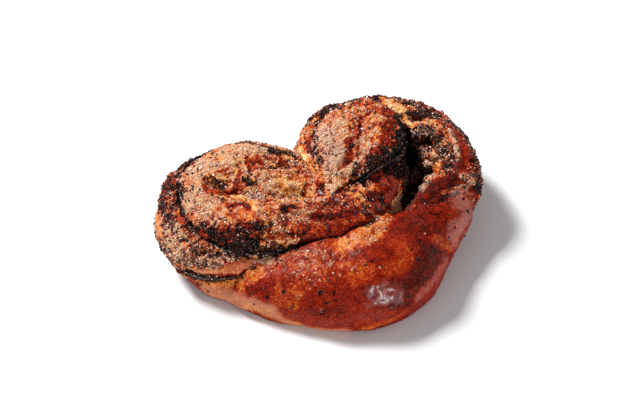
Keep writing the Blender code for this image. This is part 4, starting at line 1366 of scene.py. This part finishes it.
class Strewing:
    """The Geometry Nodes tree that strews copies of a small piece over a painted surface."""

    INPUTS = (
        ("Density", "NodeSocketFloat"), ("Spacing", "NodeSocketFloat"), ("Smallest", "NodeSocketFloat"),
        ("Largest", "NodeSocketFloat"), ("Lift", "NodeSocketFloat"), ("Seed", "NodeSocketInt"),
        ("Paint", "NodeSocketString"), ("Piece", "NodeSocketObject"), ("Finish", "NodeSocketMaterial"),
    )
    WHOLE_TURNS = (6.283, 6.283, 6.283)
    SLIGHTEST, STOUTEST = (0.85, 0.85, 0.8), (1.15, 1.1, 1.05)  # the pieces' shares of their size

    def __init__(self, name: str, smooth: bool) -> None:
        """Builds the tree.

        Args:
            name: the tree's name.
            smooth: whether the pieces are shaded smooth.
        """
        self.tree = bpy.data.node_groups.new(name, "GeometryNodeTree")
        sockets = self.tree.interface
        sockets.new_socket("Geometry", in_out="INPUT", socket_type="NodeSocketGeometry")
        self.identifiers = {
            label: sockets.new_socket(label, in_out="INPUT", socket_type=kind).identifier
            for label, kind in self.INPUTS
        }
        sockets.new_socket("Geometry", in_out="OUTPUT", socket_type="NodeSocketGeometry")
        given = self.tree.nodes.new("NodeGroupInput").outputs
        paint = self._node("GeometryNodeInputNamedAttribute", {"data_type": "FLOAT"},
                           {"Name": given["Paint"]})
        points = self._node(
            "GeometryNodeDistributePointsOnFaces", {"distribute_method": "POISSON"},
            {"Mesh": given["Geometry"], "Distance Min": given["Spacing"], "Density Max": given["Density"],
             "Density Factor": paint.outputs[0], "Seed": given["Seed"]})
        size = self._random("FLOAT", {2: given["Smallest"], 3: given["Largest"], "Seed": given["Seed"]})
        lift = self._node("ShaderNodeMath", {"operation": "MULTIPLY"},
                          {0: size.outputs[1], 1: given["Lift"]})
        offset = self._node("ShaderNodeVectorMath", {"operation": "SCALE"},
                            {0: points.outputs["Normal"], "Scale": lift.outputs[0]})
        raised = self._node("GeometryNodeSetPosition", {},
                            {"Geometry": points.outputs["Points"], "Offset": offset.outputs[0]})
        turn = self._random("FLOAT_VECTOR", {0: (0, 0, 0), 1: self.WHOLE_TURNS, "Seed": 5})
        shape = self._random("FLOAT_VECTOR", {0: self.SLIGHTEST, 1: self.STOUTEST, "Seed": 6})
        scale = self._node("ShaderNodeVectorMath", {"operation": "SCALE"},
                           {0: shape.outputs[0], "Scale": size.outputs[1]})
        piece = self._node("GeometryNodeObjectInfo", {}, {"Object": given["Piece"]})
        copies = self._node("GeometryNodeInstanceOnPoints", {}, {
            "Points": raised.outputs[0], "Instance": piece.outputs["Geometry"], "Rotation": turn.outputs[0],
            "Scale": scale.outputs[0]})
        shade = self._random("FLOAT", {2: 0.0, 3: 1.0, "Seed": 9})
        shaded = self._node("GeometryNodeStoreNamedAttribute", {"data_type": "FLOAT", "domain": "INSTANCE"},
                            {"Geometry": copies.outputs[0], "Name": SHADE, "Value": shade.outputs[1]})
        whole = self._node("GeometryNodeRealizeInstances", {}, {"Geometry": shaded.outputs[0]})
        smoothed = self._node("GeometryNodeSetShadeSmooth", {},
                              {"Geometry": whole.outputs[0], "Shade Smooth": smooth})
        dressed = self._node("GeometryNodeSetMaterial", {},
                             {"Geometry": smoothed.outputs[0], "Material": given["Finish"]})
        self.tree.links.new(dressed.outputs[0], self.tree.nodes.new("NodeGroupOutput").inputs[0])

    def _node(self, kind: str, settings: dict[str, object],
              inputs: dict[str | int, object]) -> bpy.types.Node:
        """Adds a node.

        Args:
            kind: the node's type.
            settings: its properties.
            inputs: values or sockets for its input sockets.

        Returns:
            The node.
        """
        node = self.tree.nodes.new(kind)
        for key, value in settings.items():
            setattr(node, key, value)
        for key, value in inputs.items():
            if isinstance(value, bpy.types.NodeSocket):
                self.tree.links.new(value, node.inputs[key])
            else:
                node.inputs[key].default_value = value
        return node

    def _random(self, kind: str, inputs: dict[str | int, object]) -> bpy.types.Node:
        """A Random Value node."""
        return self._node("FunctionNodeRandomValue", {"data_type": kind}, inputs)

    def strew(self, name: str, ground: bpy.types.Object,
              values: dict[str, object]) -> bpy.types.Object:
        """Strews the pieces over a surface.

        Args:
            name: the new object's name.
            ground: the painted surface.
            values: a value for each of the tree's inputs.

        Returns:
            One object with all the pieces as a plain mesh.
        """
        modifier = ground.modifiers.new(name, "NODES")
        modifier.node_group = self.tree
        for label, value in values.items():
            modifier[self.identifiers[label]] = value
        mesh = evaluated_mesh(ground)
        ground.modifiers.remove(modifier)
        mesh.name = name
        return link(name, mesh)


@dataclass(frozen=True)
class Topping:
    """Small pieces of one kind, strewn where a paint says."""

    name: str
    paint: Paint
    density: float  # on a square millimetre, where the paint is full
    spacing: float
    sizes: tuple[float, float]  # the smallest and the largest radius
    lift: float  # how much of its radius a piece's middle is raised above the crust
    seed: int
    smooth: bool

    def strew(self, ground: bpy.types.Object, piece: bpy.types.Object,
              finish: bpy.types.Material) -> bpy.types.Object:
        """Strews the topping.

        Args:
            ground: the painted surface.
            piece: one piece of the topping, of radius 1.
            finish: the pieces' material.

        Returns:
            All the pieces as one object.
        """
        return Strewing(f"strewn_{self.name}", self.smooth).strew(self.name, ground, {
            "Density": self.density / MM ** 2, "Spacing": self.spacing * MM,
            "Smallest": self.sizes[0] * MM, "Largest": self.sizes[1] * MM, "Lift": self.lift,
            "Seed": self.seed, "Paint": self.paint.value, "Piece": piece, "Finish": finish})


@dataclass
class Toppings:
    """The poppy seeds and the sugar strewn over the bun."""

    seeds: Topping = Topping("poppy_seeds", Paint.SEEDS, density=1.5, spacing=0.72,
                             sizes=(0.36, 0.56), lift=0.2, seed=3, smooth=True)
    sugar: Topping = Topping("sugar_grains", Paint.GRAINS, density=2.4, spacing=0.5,
                             sizes=(0.18, 0.36), lift=0.1, seed=8, smooth=False)

    def build(self, ground: bpy.types.Object) -> tuple[bpy.types.Object, bpy.types.Object]:
        """Strews the seeds and the sugar.

        Args:
            ground: the crust and the fillings as one painted surface.

        Returns:
            All the seeds as one piece, and all the sugar as another.
        """
        seed, grain = self.seed(), self.grain()
        seeds = self.seeds.strew(ground, seed, SeedFinish().material())
        sugar = self.sugar.strew(ground, grain, SugarFinish().material())
        for tool in (seed, grain):
            bpy.data.objects.remove(tool)
        return seeds, sugar

    def seed(self) -> bpy.types.Object:
        """Shapes one poppy seed of radius 1, longer than it is wide.

        Returns:
            The seed.
        """
        shape = bmesh.new()
        bmesh.ops.create_icosphere(shape, subdivisions=1, radius=1)
        bmesh.ops.scale(shape, verts=shape.verts, vec=(1.2, 0.95, 0.85))
        return self.as_object("one_seed", shape)

    def grain(self) -> bpy.types.Object:
        """Shapes one grain of sugar, a cube about 2 wide with two worn corners.

        Returns:
            The grain.
        """
        shape = bmesh.new()
        bmesh.ops.create_cube(shape, size=1.7)
        shape.verts.ensure_lookup_table()
        shape.verts[0].co *= 0.72
        shape.verts[6].co *= 0.8
        return self.as_object("one_grain", shape)

    def as_object(self, name: str, shape: bmesh.types.BMesh) -> bpy.types.Object:
        """Makes an object from a bmesh.

        Args:
            name: the object's name.
            shape: the bmesh, which is freed.

        Returns:
            The object.
        """
        mesh = bpy.data.meshes.new(name)
        shape.to_mesh(mesh)
        shape.free()
        return link(name, mesh)


def joined_ground(pieces: list[bpy.types.Object]) -> bpy.types.Object:
    """One surface with the faces and the paints of several pieces.

    Args:
        pieces: painted objects.

    Returns:
        A new object, which isn't part of the bun.
    """
    places, faces, paints = [], [], {Paint.SEEDS: [], Paint.GRAINS: [], Paint.BAKE: []}
    for piece in pieces:
        first = len(places)
        places += [vertex.co[:] for vertex in piece.data.vertices]
        faces += [[first + number for number in polygon.vertices] for polygon in piece.data.polygons]
        for paint, values in paints.items():
            values += [item.value for item in piece.data.attributes[paint.value].data]
    mesh = bpy.data.meshes.new("ground")
    mesh.from_pydata(places, [], faces)
    for paint, values in paints.items():
        mesh.attributes.new(paint.value, "FLOAT", "POINT").data.foreach_set("value", values)
    return link("ground", mesh)


@dataclass
class Bun:
    """The whole bun."""

    dough: Dough = field(default_factory=Dough)
    fillings: tuple[Filling, ...] = (
        Filling("poppy_filling_left"), Filling("poppy_filling_right"),
        Filling("poppy_filling_tip", sink=0.3, smeared=False),
    )
    toppings: Toppings = field(default_factory=Toppings)

    def build(self, tracer: Tracer) -> None:
        """Builds and dresses every piece, and attaches each to the bun's body.

        Args:
            tracer: what drops the marks onto the bun.
        """
        packed_seeds = PasteFinish().material()
        fillings = [filling.build(tracer, packed_seeds) for filling in self.fillings]
        smeared = [piece for piece, filling in zip(fillings, self.fillings) if filling.smeared]
        dough = self.dough.build(tracer, smeared)
        ground = joined_ground([dough, *fillings])
        seeds, sugar = self.toppings.build(ground)
        bpy.data.objects.remove(ground)
        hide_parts("dough")
        for piece, filling in zip(fillings, self.fillings):
            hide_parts(filling.node)
        for piece in (dough, *fillings, seeds, sugar):
            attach(piece, "root")
            triangles = sum(len(face.vertices) - 2 for face in piece.data.polygons)
            LOG.info("%s: %d triangles", piece.name, triangles)


# ---- the studio ------------------------------------------------------------------------------


@dataclass(frozen=True)
class Lamp:
    """A square soft light that faces the bun."""

    name: str
    place: Place  # metres to the camera's right, away from it and up, from the bun
    side: float  # metres
    power: float  # watts


@dataclass
class Studio:
    """A plain pale floor, soft light from high behind on the left, and the camera."""

    floor_size: float = 4.0
    floor_colour: Colour = (0.86, 0.86, 0.87)
    sky: float = 0.33
    lamps: tuple[Lamp, ...] = (
        Lamp("key", (-0.62, 0.50, 0.85), side=0.34, power=25.0),
        Lamp("fill", (0.46, -0.83, 0.12), side=0.2, power=5.0),
    )
    target: Place = (0.0, 0.0, 14.0)
    azimuth: float = -18.0
    elevation: float = 48.0
    distance: float = 0.60
    lens: float = 85.0
    sensor: float = 36.0
    nearest: float = 0.01
    shift: tuple[float, float] = (-4.0, 3.0)  # of the picture's pixels

    def build(self) -> None:
        """Sets up the floor, the lights and the camera."""
        self.floor()
        self.world()
        for lamp in self.lamps:
            self.light(lamp)
        self.camera()
        bpy.context.scene.view_settings.view_transform = "Standard"

    def floor(self) -> None:
        """Lays the floor."""
        shape = bmesh.new()
        bmesh.ops.create_grid(shape, x_segments=1, y_segments=1, size=self.floor_size / 2)
        mesh = bpy.data.meshes.new("floor")
        shape.to_mesh(mesh)
        shape.free()
        floor = link("floor", mesh)
        graph = Graph("floor")
        mesh.materials.append(graph.finish(base_color=self.floor_colour, roughness=0.9))

    def world(self) -> None:
        """Gives the scene an even white surrounding."""
        world = bpy.data.worlds.new("studio")
        world.use_nodes = True
        background = world.node_tree.nodes["Background"]
        background.inputs["Color"].default_value = (1, 1, 1, 1)
        background.inputs["Strength"].default_value = self.sky
        bpy.context.scene.world = world

    def basis(self) -> tuple[Vector, Vector, Vector]:
        """Works out how the camera is turned.

        Returns:
            Its right, up and backward directions.
        """
        around, above = math.radians(self.azimuth), math.radians(self.elevation)
        level = math.cos(above)
        back = Vector((math.sin(around) * level, -math.cos(around) * level, math.sin(above)))
        right = Vector((math.cos(around), math.sin(around), 0))
        return right, back.cross(right), back

    def sight(self, point: Vector) -> tuple[Vector, Vector]:
        """The line of sight through a point of the picture.

        Args:
            point: right and down from the picture's corner.

        Returns:
            The camera's place in metres in the part's frame, and the line's direction.
        """
        right, up, back = self.basis()
        focal = self.lens / self.sensor * PICTURE[0]
        across = (point[0] - PICTURE[0] / 2 + self.shift[0]) / focal
        down = (point[1] - PICTURE[1] / 2 - self.shift[1]) / focal
        return self.eye(), (right * across - up * down - back).normalized()

    def eye(self) -> Vector:
        """The camera's place."""
        return (Vector(self.target) + BAKER_TO_PART) * MM + self.basis()[2] * self.distance

    def light(self, lamp: Lamp) -> None:
        """Adds a light.

        Args:
            lamp: what it is and where it stands.
        """
        right = self.basis()[0]
        away = Vector((0, 0, 1)).cross(right)
        area = bpy.data.lights.new(lamp.name, "AREA")
        area.size, area.energy = lamp.side, lamp.power
        obj = bpy.data.objects.new(lamp.name, area)
        across, behind, height = lamp.place
        obj.location = right * across + away * behind + Vector((0, 0, height))
        obj.rotation_euler = (-obj.location).to_track_quat("-Z", "Y").to_euler()
        bpy.context.scene.collection.objects.link(obj)

    def camera(self) -> None:
        """Places the camera."""
        right, up, back = self.basis()
        lens = bpy.data.cameras.new("camera")
        lens.lens, lens.sensor_width, lens.clip_start = self.lens, self.sensor, self.nearest
        lens.shift_x, lens.shift_y = (share / PICTURE[0] for share in self.shift)
        camera = bpy.data.objects.new("camera", lens)
        turn = Matrix((right, up, back)).transposed().to_4x4()
        camera.matrix_world = Matrix.Translation(self.eye()) @ turn
        bpy.context.scene.collection.objects.link(camera)
        bpy.context.scene.camera = camera


def main() -> None:
    """Builds the bun and the studio."""
    logging.basicConfig(level=logging.INFO)
    studio = Studio()
    Bun().build(Tracer(studio))
    studio.build()


if __name__ == "__main__":
    main()
